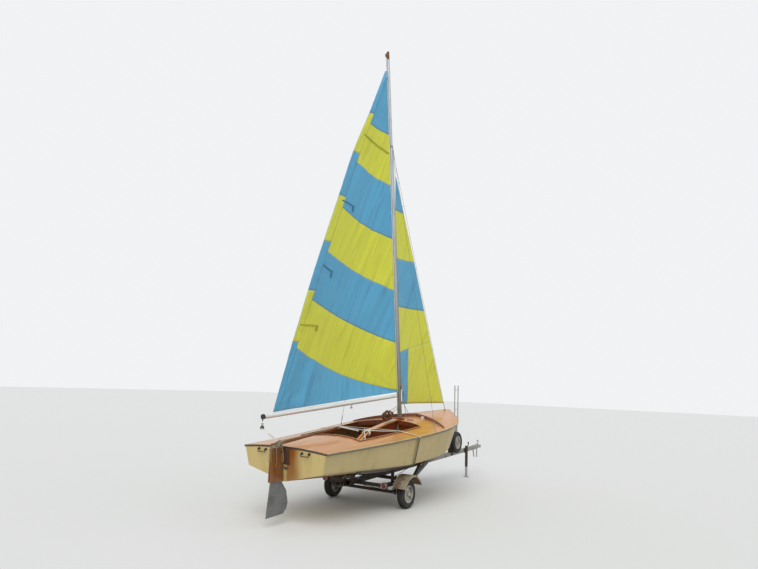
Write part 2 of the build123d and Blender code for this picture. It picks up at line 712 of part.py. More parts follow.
def pintle_point(z):
    """Point of the rudder's axis at height z."""
    base = Vector(TRANSOM_X, 0, SHEER_Z[0]) + RUDDER_AFT * (TRANSOM_PLY + PINTLE_BEHIND)
    return base + RUDDER_UP * ((z - base.Z) / RUDDER_UP.Z)


def head_front(z, gap=14.8):
    return (pintle_point(z) + RUDDER_AFT * gap).X


def rudder_head():
    """Two wooden cheeks with a filler between them, open below and aft for the blade."""
    outline = [(head_front(1092), 1092), (-2396, 1092), (-2411, 1060), (-2410, 604), (head_front(596), 596)]
    px, pz = BLADE_PIVOT
    head = slab(outline, -HEAD_HALF, HEAD_HALF)
    swing = Pos(px, 0, pz) * Rot(90, 0, 0) * Cylinder(HUB_R + 6, 8)
    slot = slab([(px, pz + HUB_R + 6), (px + HUB_R + 6, pz), (px + HUB_R + 50, 560), (-2600, 560),
                 (-2600, pz + HUB_R + 176)], -4, 4)
    tiller_slot = slab([(-2440, 1048.2), (-2050, 1095.4), (-2050, 1130), (-2440, 1130)], -15, 15)
    bore = Pos(px, 0, pz) * Rot(90, 0, 0) * Cylinder(8 + PIN_GAP, 200)
    return head - swing - slot - tiller_slot - bore


def tiller():
    sections = []
    for x, z, w, h in TILLER:
        corners = ((-w / 2, z - h / 2), (w / 2, z - h / 2), (w / 2, z + h / 2), (-w / 2, z + h / 2))
        sections.append(polygon([(x, y, height) for y, height in corners]))
    return loft(sections, ruled=True)


def rudder_blade():
    px, pz = BLADE_PIVOT
    outline = [(px - HUB_R, pz), (-2392, 596), (-2432, 158), (-2100, 176), (-2040, 230), (-2018, 310),
               (-2060, 470), (-2150, 575), (px + HUB_R, 640), (px + HUB_R, pz)]
    plate = slab(outline, -BLADE_PLATE / 2, BLADE_PLATE / 2)
    hub = Pos(px, 0, pz) * Rot(90, 0, 0) * Cylinder(HUB_R, BLADE_PLATE)
    return plate + hub - Pos(px, 0, pz) * Rot(90, 0, 0) * Cylinder(8, 40)


def blade_bolt():
    place = Pos(BLADE_PIVOT[0], 0, BLADE_PIVOT[1]) * Rot(90, 0, 0)
    bolt = place * Cylinder(8, 2 * HEAD_HALF + 24)
    for y in (-1, 1):
        bolt = bolt + Pos(0, y * (HEAD_HALF + 5.3), 0) * place * Cylinder(17, 10)
    return bolt


def pintles():
    pieces = []
    for z in PINTLE_Z:
        pin = pintle_point(z)
        shaft = rod(tuple(pin + RUDDER_UP * -40), tuple(pin + RUDDER_UP * 17), PIN_R)
        block = bar(tuple(pin - RUDDER_AFT * 9), tuple(pin + RUDDER_AFT * 14.0), 20, 22, up=tuple(RUDDER_UP))
        block = Pos(*(RUDDER_UP * 12)) * block
        straps = None
        for s in (1, -1):
            y = s * (HEAD_HALF + 1.5)
            a = pin + RUDDER_AFT * 4 + RUDDER_UP * 12 + Vector(0, y, 0)
            strap = bar(tuple(a), tuple(a + RUDDER_AFT * 140), 3, 22, up=tuple(RUDDER_UP))
            straps = strap if straps is None else straps + strap
        a, b = pin + RUDDER_AFT * 4 + RUDDER_UP * 12, pin + RUDDER_AFT * 13.5 + RUDDER_UP * 12
        bridge = bar(tuple(a), tuple(b), 2 * HEAD_HALF + 6, 22, up=tuple(RUDDER_UP))
        pieces.append(shaft + block + bridge + straps)
    return one(*pieces)


def gudgeons():
    pieces = []
    for z in PINTLE_Z:
        pin = pintle_point(z) + RUDDER_UP * -15
        eye = rod(tuple(pin + RUDDER_UP * -13), tuple(pin + RUDDER_UP * 13), 11)
        base = pin + RUDDER_AFT * -PINTLE_BEHIND
        web = bar(tuple(base), tuple(pin), 14, 26, up=tuple(RUDDER_UP))
        plate = bar(tuple(base), tuple(base + RUDDER_AFT * 4), 130, 30, up=tuple(RUDDER_UP))
        piece = eye + web + plate
        pieces.append(piece - rod(tuple(pin + RUDDER_UP * -30), tuple(pin + RUDDER_UP * 30), PIN_R + PIN_GAP))
    return one(*pieces)


# Trailer

def tongue_z(x):
    return TONGUE_Z0 + TONGUE_RISE * x


def tongue():
    (x0, x1) = TONGUE_X
    return bar((x0, 0, tongue_z(x0)), (x1, 0, tongue_z(x1)), TONGUE, TONGUE, wall=TONGUE_WALL)


def tongue_space(clear=0.0):
    x0, x1 = TONGUE_X[0] - 20, TONGUE_X[1]
    return bar((x0, 0, tongue_z(x0)), (x1, 0, tongue_z(x1)), TONGUE + clear, TONGUE + clear)


def diagonal(side, wall=TUBE_WALL):
    x0, x1 = DIAGONAL_X
    return bar((x0, side * RAIL_Y, RAIL_Z + 4), (x1, side * 56, tongue_z(x1)), 40, 60, wall=wall)


def trailer_frame():
    """Side rails over the springs, cross members, two diagonals to the tongue and the lashing eyes."""
    x0, x1 = RAIL_X
    beams = []
    for side in (1, -1):
        beams.append(bar((x0, side * RAIL_Y, RAIL_Z), (x1, side * RAIL_Y, RAIL_Z), 40, 60, wall=TUBE_WALL))
        beams.append(diagonal(side))
        low, high = (LASHING_X, side * 550, RAIL_Z - 20), (LASHING_X, side * 558, 522)
        inner, outer = (LASHING_X, side * (RAIL_Y + 18), RAIL_Z), (LASHING_X, side * 552, RAIL_Z)
        beams.append(bar(low, high, 40, 8, up=(0, 1, 0)) + bar(inner, outer, 40, 20))
    for x in CROSS_X:
        beams.append(bar((x, -RAIL_Y, RAIL_Z), (x, RAIL_Y, RAIL_Z), 50, 50, wall=TUBE_WALL))
    return one(*beams) - tongue_space()


def axle():
    end = TRACK / 2 - 82
    beam = rod((0, -end, WHEEL_Z), (0, end, WHEEL_Z), AXLE_R)
    for side in (1, -1):
        beam = beam + rod((0, side * (end - 2), WHEEL_Z), (0, side * (TRACK / 2 + 22), WHEEL_Z), SPINDLE_R)
    return beam


def leaf_springs():
    """A stack of three leaves each side, hung from two blocks below the rail."""
    stacks = []
    for side in (1, -1):
        stack = []
        for length, drop in LEAVES:
            half, z = length / 2, SPRING_Z - drop
            ends = z + SPRING_ARCH * (length / LEAVES[0][0]) ** 2
            top = Edge.make_three_point_arc((-half, 0, ends), (0, 0, z), (half, 0, ends))
            ends, z = ends - LEAF, z - LEAF
            low = Edge.make_three_point_arc((half, 0, ends), (0, 0, z), (-half, 0, ends))
            lines = [Edge.make_line(top @ 1, low @ 0), Edge.make_line(low @ 1, top @ 0)]
            face = Face(Wire([top, lines[0], low, lines[1]]))
            stack.append(Pos(0, side * RAIL_Y - 22, 0) * extrude(face, amount=44, dir=(0, 1, 0)))
        for x in (-312, 312):
            stack.append(Pos(x, side * RAIL_Y, 341) * Box(34, 52, 42))
        stacks.append(one(*stack) - rod((0, -900, WHEEL_Z), (0, 900, WHEEL_Z), AXLE_R))
    return one(*stacks)


def tyre():
    """Bias-ply trailer tyre with a flat crown and stepped beads, in flat facets round the Y axis."""
    w, crown = TYRE_W / 2, TYRE_R - 0.3
    half = [(RIM_R - 8, 0.72), (RIM_R + 8, 0.78), (RIM_R + 40, 1.0), (TYRE_R - 18, 0.9), (crown, 0.6)]
    section = [(r, part * w) for r, part in half] + [(r, -part * w) for r, part in half[::-1]]
    step = 2 * pi / TYRE_FACETS

    def corner(row, k):
        r = row[0] / cos(step / 2)
        return r * cos(k * step), row[1], r * sin(k * step)
    faces = []
    for k in range(TYRE_FACETS):
        for a, b in zip(section, section[1:] + section[:1]):
            faces.append(polygon([corner(a, k), corner(b, k), corner(b, k + 1), corner(a, k + 1)]))
    return Solid(Shell(faces))


def rim():
    """Pressed wheel: barrel, dished disc with five holes, and hub cap. Its outer face is at +Y."""
    w = TYRE_W / 2 * 0.78
    barrel = Cylinder(RIM_R - 8, 2 * w) - Cylinder(RIM_R - 14, 2 * w + 2)
    for s in (-1, 1):
        flange = Pos(0, 0, s * (w + 1.9)) * (Cylinder(RIM_R + 3, 4) - Cylinder(RIM_R - 14, 6))
        barrel = barrel + flange
    disc = Pos(0, 0, 12) * (Cylinder(RIM_R - 12, 5) - Cylinder(44, 6))
    dish = Pos(0, 0, 14) * Cone(46, 40, 22) - Pos(0, 0, 12) * Cone(42, 36, 24)
    face = Pos(0, 0, 23) * Cylinder(41, 5)
    hub = Pos(0, 0, -14) * Cylinder(31, 78)
    cap = Pos(0, 0, 36) * Cone(24, 19, 24)
    holes = one(*[Rot(0, 0, 72 * k) * Pos(88, 0, 12) * Cylinder(14, 20) for k in range(5)])
    return Rot(-90, 0, 0) * (barrel + disc + dish + face + hub + cap - holes)


def wheel(side, ring):
    y = side * TRACK / 2
    place = Pos(0, y, WHEEL_Z) * Rot(0, 0, 0 if side > 0 else 180)
    bore = rod((0, y - side * 200, WHEEL_Z), (0, y + side * 23, WHEEL_Z), SPINDLE_R + PIN_GAP)
    return place * ring, place * rim() - bore


def mudguard(side):
    """Rolled steel guard over the wheel with a lip along its outer edge, on two legs from the rail."""
    r, w = GUARD_R, GUARD_W
    y0 = TRACK / 2 - 100
    arc = extrude(guard_sector(r, r - 3), amount=w, dir=(0, 1, 0))
    lip = Pos(0, w - 3, 0) * extrude(guard_sector(r, r - 28), amount=3, dir=(0, 1, 0))
    guard = Pos(0, y0, WHEEL_Z) * (arc + lip)
    below = Pos(0, y0 + 15, WHEEL_Z) * Rot(90, 0, 0) * Cylinder(r - 1, 40)
    for x in (-150, 150):
        foot = bar((x, RAIL_Y + 21, RAIL_Z + 10), (x, y0 + 30, RAIL_Z + 10), 30, 6)
        leg = bar((x, y0 + 15, RAIL_Z + 8), (x, y0 + 15, WHEEL_Z + r), 30, 6, up=(0, 1, 0))
        guard = guard + foot + (leg & below)
    return guard if side > 0 else mirror(guard, about=Plane.XZ)


def guard_sector(r_out, r_in):
    a0, a1 = GUARD_ANGLES
    def p(r, a):
        return (r * cos(radians(a)), 0, r * sin(radians(a)))
    mid = (a0 + a1) / 2
    outer = Edge.make_three_point_arc(p(r_out, a0), p(r_out, mid), p(r_out, a1))
    inner = Edge.make_three_point_arc(p(r_in, a1), p(r_in, mid), p(r_in, a0))
    ends = [Edge.make_line(outer @ 1, inner @ 0), Edge.make_line(inner @ 1, outer @ 0)]
    return Face(Wire([outer, ends[0], inner, ends[1]]))


def bunks(skins):
    """Padded boards under the bottom, one each side."""
    boards = []
    inner, outer, depth = BUNK_Y - 45, BUNK_Y + 45, 46
    for side in (1, -1):
        sections = []
        for x in BUNK_X:
            z_in, z_out = bottom_z(x, inner) + 4, bottom_z(x, outer) + 4
            sections.append(polygon([(x, side * inner, z_in - depth), (x, side * outer, z_out - depth),
                                     (x, side * outer, z_out), (x, side * inner, z_in)]))
        board = loft(sections, ruled=True)
        for piece in skins:
            board = board - piece
        boards.append(largest(board))
    return one(*boards)


def bunk_posts(boards):
    posts = []
    for side in (1, -1):
        for x, y, z, top_x, top_y in BUNK_POSTS:
            head = (top_x, side * top_y, bottom_z(top_x, top_y) - 32)
            posts.append(bar((x, side * y, z), head, 40, 40, up=(1, 0, 0)))
    return one(*posts) - boards - diagonal(1, None) - diagonal(-1, None)


def keel_rollers():
    """Two rubber rollers on the tongue that the keel sits in."""
    rollers = []
    for x in ROLLER_X:
        z = bottom_z(x, 0) - ROLLER_DROP
        ends = rod((x, -70, z), (x, 70, z), 34) - rod((x, -20, z), (x, 20, z), 40)
        rollers.append(ends + rod((x, -21, z), (x, 21, z), 28.5))
    return one(*rollers)


def roller_brackets():
    brackets = []
    upright = (Align.CENTER, Align.CENTER, Align.MIN)
    for x in ROLLER_X:
        z = bottom_z(x, 0) - ROLLER_DROP
        low = tongue_z(x) + TONGUE / 2 - 2
        for y in (-76, 76):
            brackets.append(Pos(x, y, low - 40) * Box(40, 5, z - low + 55, align=upright))
        base = Pos(x, 0, low - 38) * Box(40, 150, 6, align=upright)
        brackets.append(base - tongue_space())
        brackets.append(rod((x, -84, z), (x, 84, z), 7))
    return one(*brackets)


def carrier():
    """Post on the tongue with the bow stop's arm and a two-pronged crutch for the lowered mast."""
    x, half = CARRIER_X, CRUTCH_HALF
    low, high = CRUTCH_Z
    post = bar((x, 0, tongue_z(x) + TONGUE / 2), (x, 0, low), 50, 50, up=(1, 0, 0), wall=3)
    fork = Pos(x, 0, low) * Box(50, 2 * half + 40, 8)
    for y in (-half, half):
        fork = fork + rod((x, y, low), (x, y, high), 11)
    for z in (low + 180, high - 100):
        fork = fork + rod((x, -half, z), (x, half, z), 5)
    arm = bar((x + 10, 0, 1180), (2925, 0, 1250), 40, 40, wall=3)
    return (post - tongue_space()) + fork + arm


def bow_stop():
    return slab([(2935, 1215), (2935, 1290), (2862, 1290), (2822, 1215)], -42, 42)


def coupler():
    """Ball coupler with a socket, a tapered neck and a hand wheel on a screw."""
    end = TONGUE_X[1]
    z0 = tongue_z(end)
    rows = ((end - 120, 42, 42, tongue_z(end - 120)), (end + 10, 42, 40, z0 + 2),
            (COUPLER_X - 26, 34, 24, z0 + 18))          # x, half width, half height, middle z
    neck = loft([polygon([(x, -w, z - h), (x, w, z - h), (x, w, z + h), (x, -w, z + h)])
                 for x, w, h, z in rows])
    head = Pos(COUPLER_X, 0, z0 + 4) * Cylinder(44, 60)
    socket = Pos(COUPLER_X, 0, z0 - 2) * Sphere(BALL_R) + Pos(COUPLER_X, 0, z0 - 28) * Cylinder(BALL_R, 52)
    screw = rod((KNOB_X, 0, z0 + 30), (KNOB_X, 0, z0 + 118), 8)
    knob = Pos(KNOB_X, 0, z0 + 122) * Cylinder(27, 14) + Pos(KNOB_X, 0, z0 + 134) * Sphere(16)
    return neck + head + screw + knob - socket - tongue_space(0.2)


def jack():
    """Side-clamped jack: outer tube, crank, and inner leg with its foot on the ground."""
    x, y = JACK_X, -(TONGUE / 2 + 34)
    z = tongue_z(x)
    top = z + 80
    tube = rod((x, y, 253), (x, y, top), JACK_R, wall=3) + rod((x, y, top), (x, y, top + 20), JACK_R + 2)
    clamp = Pos(x, -(TONGUE / 2 + 5), z) * Box(90, 10, 96) + Pos(x, -(TONGUE / 2 + 12), z) * Box(50, 20, 70)
    clamp = clamp - rod((x, y, 0), (x, y, 1000), JACK_R - 1)
    crank = rod((x, y, top + 14), (x + 105, y, top + 26), 6)
    crank = crank + rod((x + 100, y, top + 16), (x + 100, y, top + 94), 8)
    foot = Pos(x, y, GROUND_Z) * Cylinder(62, 8, align=(Align.CENTER, Align.CENTER, Align.MIN))
    leg = rod((x, y, GROUND_Z + 6), (x, y, 560), JACK_R - 5)
    return tube + clamp + crank, leg + foot


def spare_bracket():
    """Plate up the tongue's side with a stub for the wheel, and a block on top of the tongue."""
    x, y, z = SPARE
    side = -(TONGUE / 2 + 4)
    plate = bar((x, side, tongue_z(x) - 25), (x, side, z + 40), 60, 8, up=(0, 1, 0))
    block = Pos(x - 20, -4, tongue_z(x) + TONGUE / 2 + 50) * Box(80, 68, 110)
    return plate + (block - tongue_space()) + rod((x, side, z), (x, y + 53.2, z), 14)


def tail_lamps():
    x, y, z = LAMP
    return one(*[Pos(x, side * y, z) * Rot(0, -90, 0) * Cylinder(45, 36) for side in (1, -1)])


def straps():
    """Lashing across the cockpit, over both gunwales and down to the frame."""
    x, width = LASHING_X, 36.0
    half = half_breadth(x) + 30.6
    deck_edge = sheer_z(x) + DECK_PLY
    top = deck_z(x, 570) + COAMING_TOP + 4
    chine_y = between(x, HULL, 3, 2) + 24
    chine_z = between(x, HULL, 4, 2)
    points = [(566, 516), (chine_y, chine_z), (half, deck_edge + 3), (602, top)]
    route = points + [(-y, z) for y, z in points[::-1]]
    pieces = []
    for (y0, z0), (y1, z1) in zip(route, route[1:]):
        pieces.append(bar((x, y0, z0), (x, y1, z1), width, 3, up=(0, -(z1 - z0), y1 - y0)))
    for y, z in route[1:-1]:
        pieces.append(Pos(x, y, z) * Rot(0, 90, 0) * Cylinder(1.5, width))
    return one(*pieces)


def main():
    parts = hull()
    skins = [parts[n] for n in ("topside_panels", "bottom_panels", "keel")]
    parts["centreboard_trunk"] = trunk() - parts["keel"]
    parts["trunk_cap"] = trunk_cap()
    parts["centreboard"] = centreboard()
    parts["rub_rails"] = one(*[largest(rub_rail(side) - parts["deck"]) for side in (1, -1)])
    parts["splash_rail"] = splash_rail()
    parts["chainplates"] = chainplates() + forestay_plate()
    parts["lift_handles"] = lift_handles()
    parts["gudgeons"] = gudgeons()
    parts["transom_pad"] = transom_pad()

    parts["mast"] = mast() + mast_track()
    parts["masthead"] = masthead()
    parts["mast_step"] = mast_step()
    parts["mast_post"] = mast_post()
    wires, screws = stays()
    parts.update(wires)
    parts["turnbuckles"] = screws
    parts["mast_fittings"] = hounds() + gooseneck_mast()
    for colour, panels in jib().items():
        parts["jib_" + colour] = panels

    parts["boom"] = swung(boom())
    parts["boom_cap"] = swung(boom_cap())
    parts["gooseneck"] = swung(gooseneck_boom())
    for colour, panels in mainsail().items():
        parts["mainsail_" + colour] = swung(panels)

    parts["rudder_head"] = rudder_head()
    parts["tiller"] = tiller()
    parts["rudder_fittings"] = pintles() + blade_bolt()
    parts["rudder_blade"] = rudder_blade()

    parts["tongue"] = tongue()
    parts["trailer_frame"] = trailer_frame()
    parts["axle"] = axle()
    parts["leaf_springs"] = leaf_springs()
    boards = bunks(skins)
    parts["bunks"] = boards
    parts["keel_rollers"] = keel_rollers()
    parts["hull_supports"] = bunk_posts(boards) + (roller_brackets() - parts["keel_rollers"])
    parts["mast_carrier"] = carrier()
    stop = bow_stop() - parts["mast_carrier"]
    for piece in skins:
        stop = stop - piece
    parts["bow_stop"] = largest(stop)
    parts["coupler"] = coupler()
    parts["jack_tube"], parts["jack_leg"] = jack()
    parts["spare_bracket"] = spare_bracket()
    x, y, z = SPARE
    ring = tyre()
    parts["spare_tyre"] = Pos(x, y, z) * Rot(0, 0, 180) * ring
    parts["spare_rim"] = Pos(x, y, z) * Rot(0, 0, 180) * rim()
    parts["tail_lamps"] = tail_lamps()
    parts["mudguard_left"] = mudguard(1)
    parts["mudguard_right"] = mudguard(-1)
    parts["tie_down"] = straps()
    for side, name in ((1, "left"), (-1, "right")):
        parts["tyre_" + name], parts["rim_" + name] = wheel(side, ring)

    os.makedirs("parts", exist_ok=True)
    for name, shape in parts.items():
        export_step(Pos(AXLE_X, 0, -GROUND_Z) * shape, f"parts/{name}.step")


main()
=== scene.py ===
"""Sailing dinghy on its road trailer: the looks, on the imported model's frame."""
import json
import math

import bpy
from mathutils import Matrix, Vector, noise


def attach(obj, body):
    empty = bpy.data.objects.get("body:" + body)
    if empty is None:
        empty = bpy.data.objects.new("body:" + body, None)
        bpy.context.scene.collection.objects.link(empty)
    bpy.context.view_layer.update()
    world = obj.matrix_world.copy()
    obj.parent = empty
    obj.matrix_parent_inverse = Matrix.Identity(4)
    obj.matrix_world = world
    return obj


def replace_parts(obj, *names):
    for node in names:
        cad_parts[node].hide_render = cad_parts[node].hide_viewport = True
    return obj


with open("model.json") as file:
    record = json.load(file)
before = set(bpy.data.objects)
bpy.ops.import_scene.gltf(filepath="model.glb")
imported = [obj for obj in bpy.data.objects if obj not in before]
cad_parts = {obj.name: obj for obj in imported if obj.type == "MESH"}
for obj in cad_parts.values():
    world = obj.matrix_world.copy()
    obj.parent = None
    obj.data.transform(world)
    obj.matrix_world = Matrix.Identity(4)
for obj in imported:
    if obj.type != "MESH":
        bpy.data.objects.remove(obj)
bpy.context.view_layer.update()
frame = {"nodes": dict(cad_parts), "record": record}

# Places repeat the model's own source: metres, x from the trailer's axle, heights from 30 mm below the floor.
AXLE, FLOOR = -1.159, 0.030
BOAT, BOOM, RUDDER = "boat_and_trailer", "boom", "rudder"
TAU = 2 * math.pi
LOOKS = {}


def at(x, y, z):
    return Vector((x + AXLE, y, z - FLOOR))


# Mast and boom
MAST_FOOT, MAST_TOP = at(0.963, 0, 1.351), at(0.073, 0, 8.166)
MAST_UP = (MAST_TOP - MAST_FOOT).normalized()
MAST_AFT = Vector((-MAST_UP.z, 0, MAST_UP.x))
LUFF_AFT = 0.066
GOOSENECK_Z, HOUNDS_Z = 1.760, 6.30
FOOT_RADIUS, MAST_TAPER, MAST_LONG = 0.038, 0.010, 6.815
MAST_BASE_Z, SHEAVE_Z = 1.351, 8.086
BOOM_END = at(-2.340, 0, 1.425)
BOOM_SWING = math.radians(5)

# Mainsail seams from the head down: leech x, leech z of the strip, leech z of the body, luff z, colour below
MAIN_SEAMS = [
    (0.014, 7.738, 7.738, 7.753, "blue"),
    (-0.385, 6.730, 6.560, 6.560, "yellow"),
    (-0.760, 5.865, 5.765, 5.590, "blue"),
    (-1.060, 4.995, 4.870, 4.615, "yellow"),
    (-1.355, 4.140, 4.030, 3.650, "blue"),
    (-1.630, 3.300, 3.225, 2.715, "yellow"),
    (-1.875, 2.495, 2.450, 1.850, "blue"),
    (-2.150, 1.486, 1.486, 1.812, None),
]
MAIN_CAMBER, FOOT_CAMBER = 0.07, 0.02
# Seam sag as a part of the chord, and width of the leech strip, at the same places
SEAM_SAG = [0.0, 0.024, 0.028, 0.028, 0.010, 0.010, 0.032, 0.0]
STRIP_WIDE = [0.060, 0.100, 0.165, 0.180, 0.175, 0.165, 0.120, 0.090]
# Jib seams from the head down: leech x, leech z, luff x, luff z, colour below
JIB_SEAMS = [
    (0.505, 5.835, 0.530, 5.815, "blue"),
    (0.545, 5.200, 0.855, 5.202, "yellow"),
    (0.650, 4.270, 1.335, 4.325, "blue"),
    (0.762, 3.390, 1.795, 3.435, "yellow"),
    (0.872, 2.530, 2.110, 2.833, "yellow"),
    (1.035, 1.600, 2.755, 1.612, None),
]
JIB_CAMBER = 0.05
JIB_STRIP_X = 1.300
MAIN_LAST, JIB_LAST = len(MAIN_SEAMS) - 1, len(JIB_SEAMS) - 1
LAP = 0.018                     # part of a panel that runs on below the seam
SEAM_STEP = 0.0015              # every second panel lies this far to port

# Deck edge: x and half-breadth
TRANSOM_X, TRANSOM_TOP = -2.146, 1.006
DECK_EDGE = [(TRANSOM_X, 0.713), (-1.5, 0.784), (-0.86, 0.860), (-0.22, 0.931), (0.42, 0.986), (1.06, 0.978),
             (1.6, 0.845), (2.05, 0.640), (2.45, 0.375), (2.76, 0.165), (2.972, 0.032)]
DECK_LONG, DECK_RISE, DECK_SHEER = 5.133, 0.231, 0.243
DECK_CROWN = 0.0778

# Rope blocks
END_BLOCK, MIDDLE_BLOCK, MIDDLE_X = 0.026, 0.020, -0.443

# Trailer
TRACK, WHEEL_Z = 1.425, 0.246
STUD_CIRCLE = 0.033
SPARE = at(3.140, -0.124, 0.808)
SPRING_Y = 0.520
NUT = 0.010                     # radius of the larger nuts
TONGUE_Z, TONGUE_RISE = 0.430, 0.042


# Camera, lamps and floor

def camera():
    """From eye height off the starboard quarter, looking up a little."""
    look = Vector((0.830458, 0.528031, 0.177546)).normalized()
    right = Vector((0.530308, -0.846937, 0.038354)).normalized()
    up = right.cross(look)
    bpy.ops.object.camera_add(location=(-8.269 + AXLE, -5.306, 1.8535))
    eye = bpy.context.object
    eye.matrix_world = Matrix.Translation(eye.location) @ Matrix((right, up, -look)).transposed().to_4x4()
    eye.data.sensor_fit = "HORIZONTAL"
    eye.data.sensor_width = 36
    eye.data.lens = 36 * 570 / 758      # 570 pixels in a frame 758 pixels wide
    eye.data.clip_end = 300
    bpy.context.scene.camera = eye


def studio():
    """Pale floor in soft light, where the camera and the gloss see a plain pale room."""
    scene = bpy.context.scene
    scene.view_settings.view_transform = "Standard"
    scene.world = world = bpy.data.worlds.new("overcast")
    world.use_nodes = True
    nodes, links = world.node_tree.nodes, world.node_tree.links
    nodes.clear()
    mix = nodes.new("ShaderNodeMixShader")
    for socket, color, strength in ((1, (0.93, 0.96, 1.0, 1), 0.62), (2, (0.88, 0.89, 0.90, 1), 1.0)):
        light = nodes.new("ShaderNodeBackground")
        light.inputs["Color"].default_value = color
        light.inputs["Strength"].default_value = strength
        links.new(light.outputs["Background"], mix.inputs[socket])
    path = nodes.new("ShaderNodeLightPath")
    seen = path.outputs["Is Camera Ray"]
    for ray in ("Is Glossy Ray", "Is Transmission Ray"):
        either = nodes.new("ShaderNodeMath")
        either.operation = "MAXIMUM"
        links.new(seen, either.inputs[0])
        links.new(path.outputs[ray], either.inputs[1])
        seen = either.outputs["Value"]
    links.new(seen, mix.inputs["Fac"])
    links.new(mix.outputs["Shader"], nodes.new("ShaderNodeOutputWorld").inputs["Surface"])
    bpy.ops.object.light_add(type="SUN", rotation=[math.radians(turn) for turn in (38, -14, -50)])
    sun = bpy.context.object.data
    sun.energy = 1.6
    sun.angle = math.radians(50)
    sun.color = (1.0, 0.985, 0.96)
    bpy.ops.mesh.primitive_plane_add(size=160, location=(0, 0, 0))
    floor = bpy.context.object
    floor.name = "studio_floor"
    floor.data.materials.append(floor_finish("floor_pale", tint(228, 228, 226)))


# Finishes

def tint(red, green, blue):
    """A colour as it looks, 0 to 255, turned into light for the shader."""
    levels = (red / 255, green / 255, blue / 255)
    return tuple(c / 12.92 if c <= 0.04045 else ((c + 0.055) / 1.055) ** 2.4 for c in levels)


def dim(color, factor):
    return tuple(c * factor for c in color)


class Finish:
    """A principled material and short ways to add pattern nodes to it."""

    def __init__(self, name, color, roughness, metallic=0.0, coat=0.0, sheen=0.0):
        self.material = bpy.data.materials.new(name)
        self.material.use_nodes = True
        self.nodes, self.links = self.material.node_tree.nodes, self.material.node_tree.links
        self.shader = self.nodes["Principled BSDF"]
        for socket, value in (("Base Color", (*color, 1)), ("Roughness", roughness), ("Metallic", metallic),
                              ("Coat Weight", coat), ("Coat Roughness", 0.12), ("Sheen Weight", sheen),
                              ("Specular IOR Level", 0.35)):
            self.shader.inputs[socket].default_value = value

    def split(self, source="Object"):
        """X, Y and Z of the object's own coordinates, its UV map, or its faces' Normal."""
        where = self.nodes.new("ShaderNodeNewGeometry" if source == "Normal" else "ShaderNodeTexCoord")
        axes = self.nodes.new("ShaderNodeSeparateXYZ")
        self.links.new(where.outputs[source], axes.inputs["Vector"])
        return axes.outputs

    def texture(self, kind, stretch=(1, 1, 1), lean=0.0, **numbers):
        """Pattern on object coordinates, which may lean about the Y axis before they are stretched."""
        where = self.nodes.new("ShaderNodeTexCoord").outputs["Object"]
        for socket, value in ([("Rotation", (0, lean, 0))] if lean else []) + [("Scale", stretch)]:
            mapping = self.nodes.new("ShaderNodeMapping")
            mapping.inputs[socket].default_value = value
            self.links.new(where, mapping.inputs["Vector"])
            where = mapping.outputs["Vector"]
        node = self.nodes.new("ShaderNodeTex" + kind)
        for socket, number in numbers.items():
            node.inputs[socket].default_value = number
        self.links.new(where, node.inputs["Vector"])
        return node

    def noise(self, scale, stretch=(1, 1, 1), detail=5, rough=0.55, warp=0.0, lean=0.0):
        return self.texture("Noise", stretch, lean, Scale=scale, Detail=detail, Roughness=rough,
                            Distortion=warp).outputs["Fac"]

    def span(self, value, low, high, to_low=0.0, to_high=1.0):
        node = self.nodes.new("ShaderNodeMapRange")
        for socket, number in zip(("From Min", "From Max", "To Min", "To Max"), (low, high, to_low, to_high)):
            node.inputs[socket].default_value = number
        self.links.new(value, node.inputs["Value"])
        return node.outputs["Result"]

    def merge(self, a, b, operation="ADD"):
        """One value from two, by Blender's Math node."""
        node = self.nodes.new("ShaderNodeMath")
        node.operation = operation
        for socket, value in zip(node.inputs, (a, b)):
            if isinstance(value, float):
                socket.default_value = value
            else:
                self.links.new(value, socket)
        return node.outputs["Value"]

    def mix(self, amount, a, b):
        """Colour a where amount is 0, colour b where it is 1."""
        node = self.nodes.new("ShaderNodeMix")
        node.data_type = "RGBA"
        for socket, value in ((node.inputs[6], a), (node.inputs[7], b)):
            if isinstance(value, tuple):
                socket.default_value = (*value, 1)
            else:
                self.links.new(value, socket)
        self.links.new(amount, node.inputs[0])
        return node.outputs[2]

    def over(self, base, color, pattern, low=0.0, high=1.0, most=1.0):
        """Base with color laid over it as the pattern rises from low to high, covering at most this part."""
        return self.mix(self.span(pattern, low, high, 0.0, most), base, color)

    def paint(self, color):
        self.links.new(color, self.shader.inputs["Base Color"])

    def roughen(self, value):
        self.links.new(value, self.shader.inputs["Roughness"])

    def bump(self, height, strength, distance):
        """The last step: relief on the surface, and the material handed over."""
        node = self.nodes.new("ShaderNodeBump")
        node.inputs["Strength"].default_value = strength
        node.inputs["Distance"].default_value = distance
        self.links.new(height, node.inputs["Height"])
        self.links.new(node.outputs["Normal"], self.shader.inputs["Normal"])
        return self.material


def floor_finish(name, color):
    made = Finish(name, color, 0.9)
    made.paint(made.mix(made.noise(3.0, detail=3), color, dim(color, 0.985)))
    return made.material


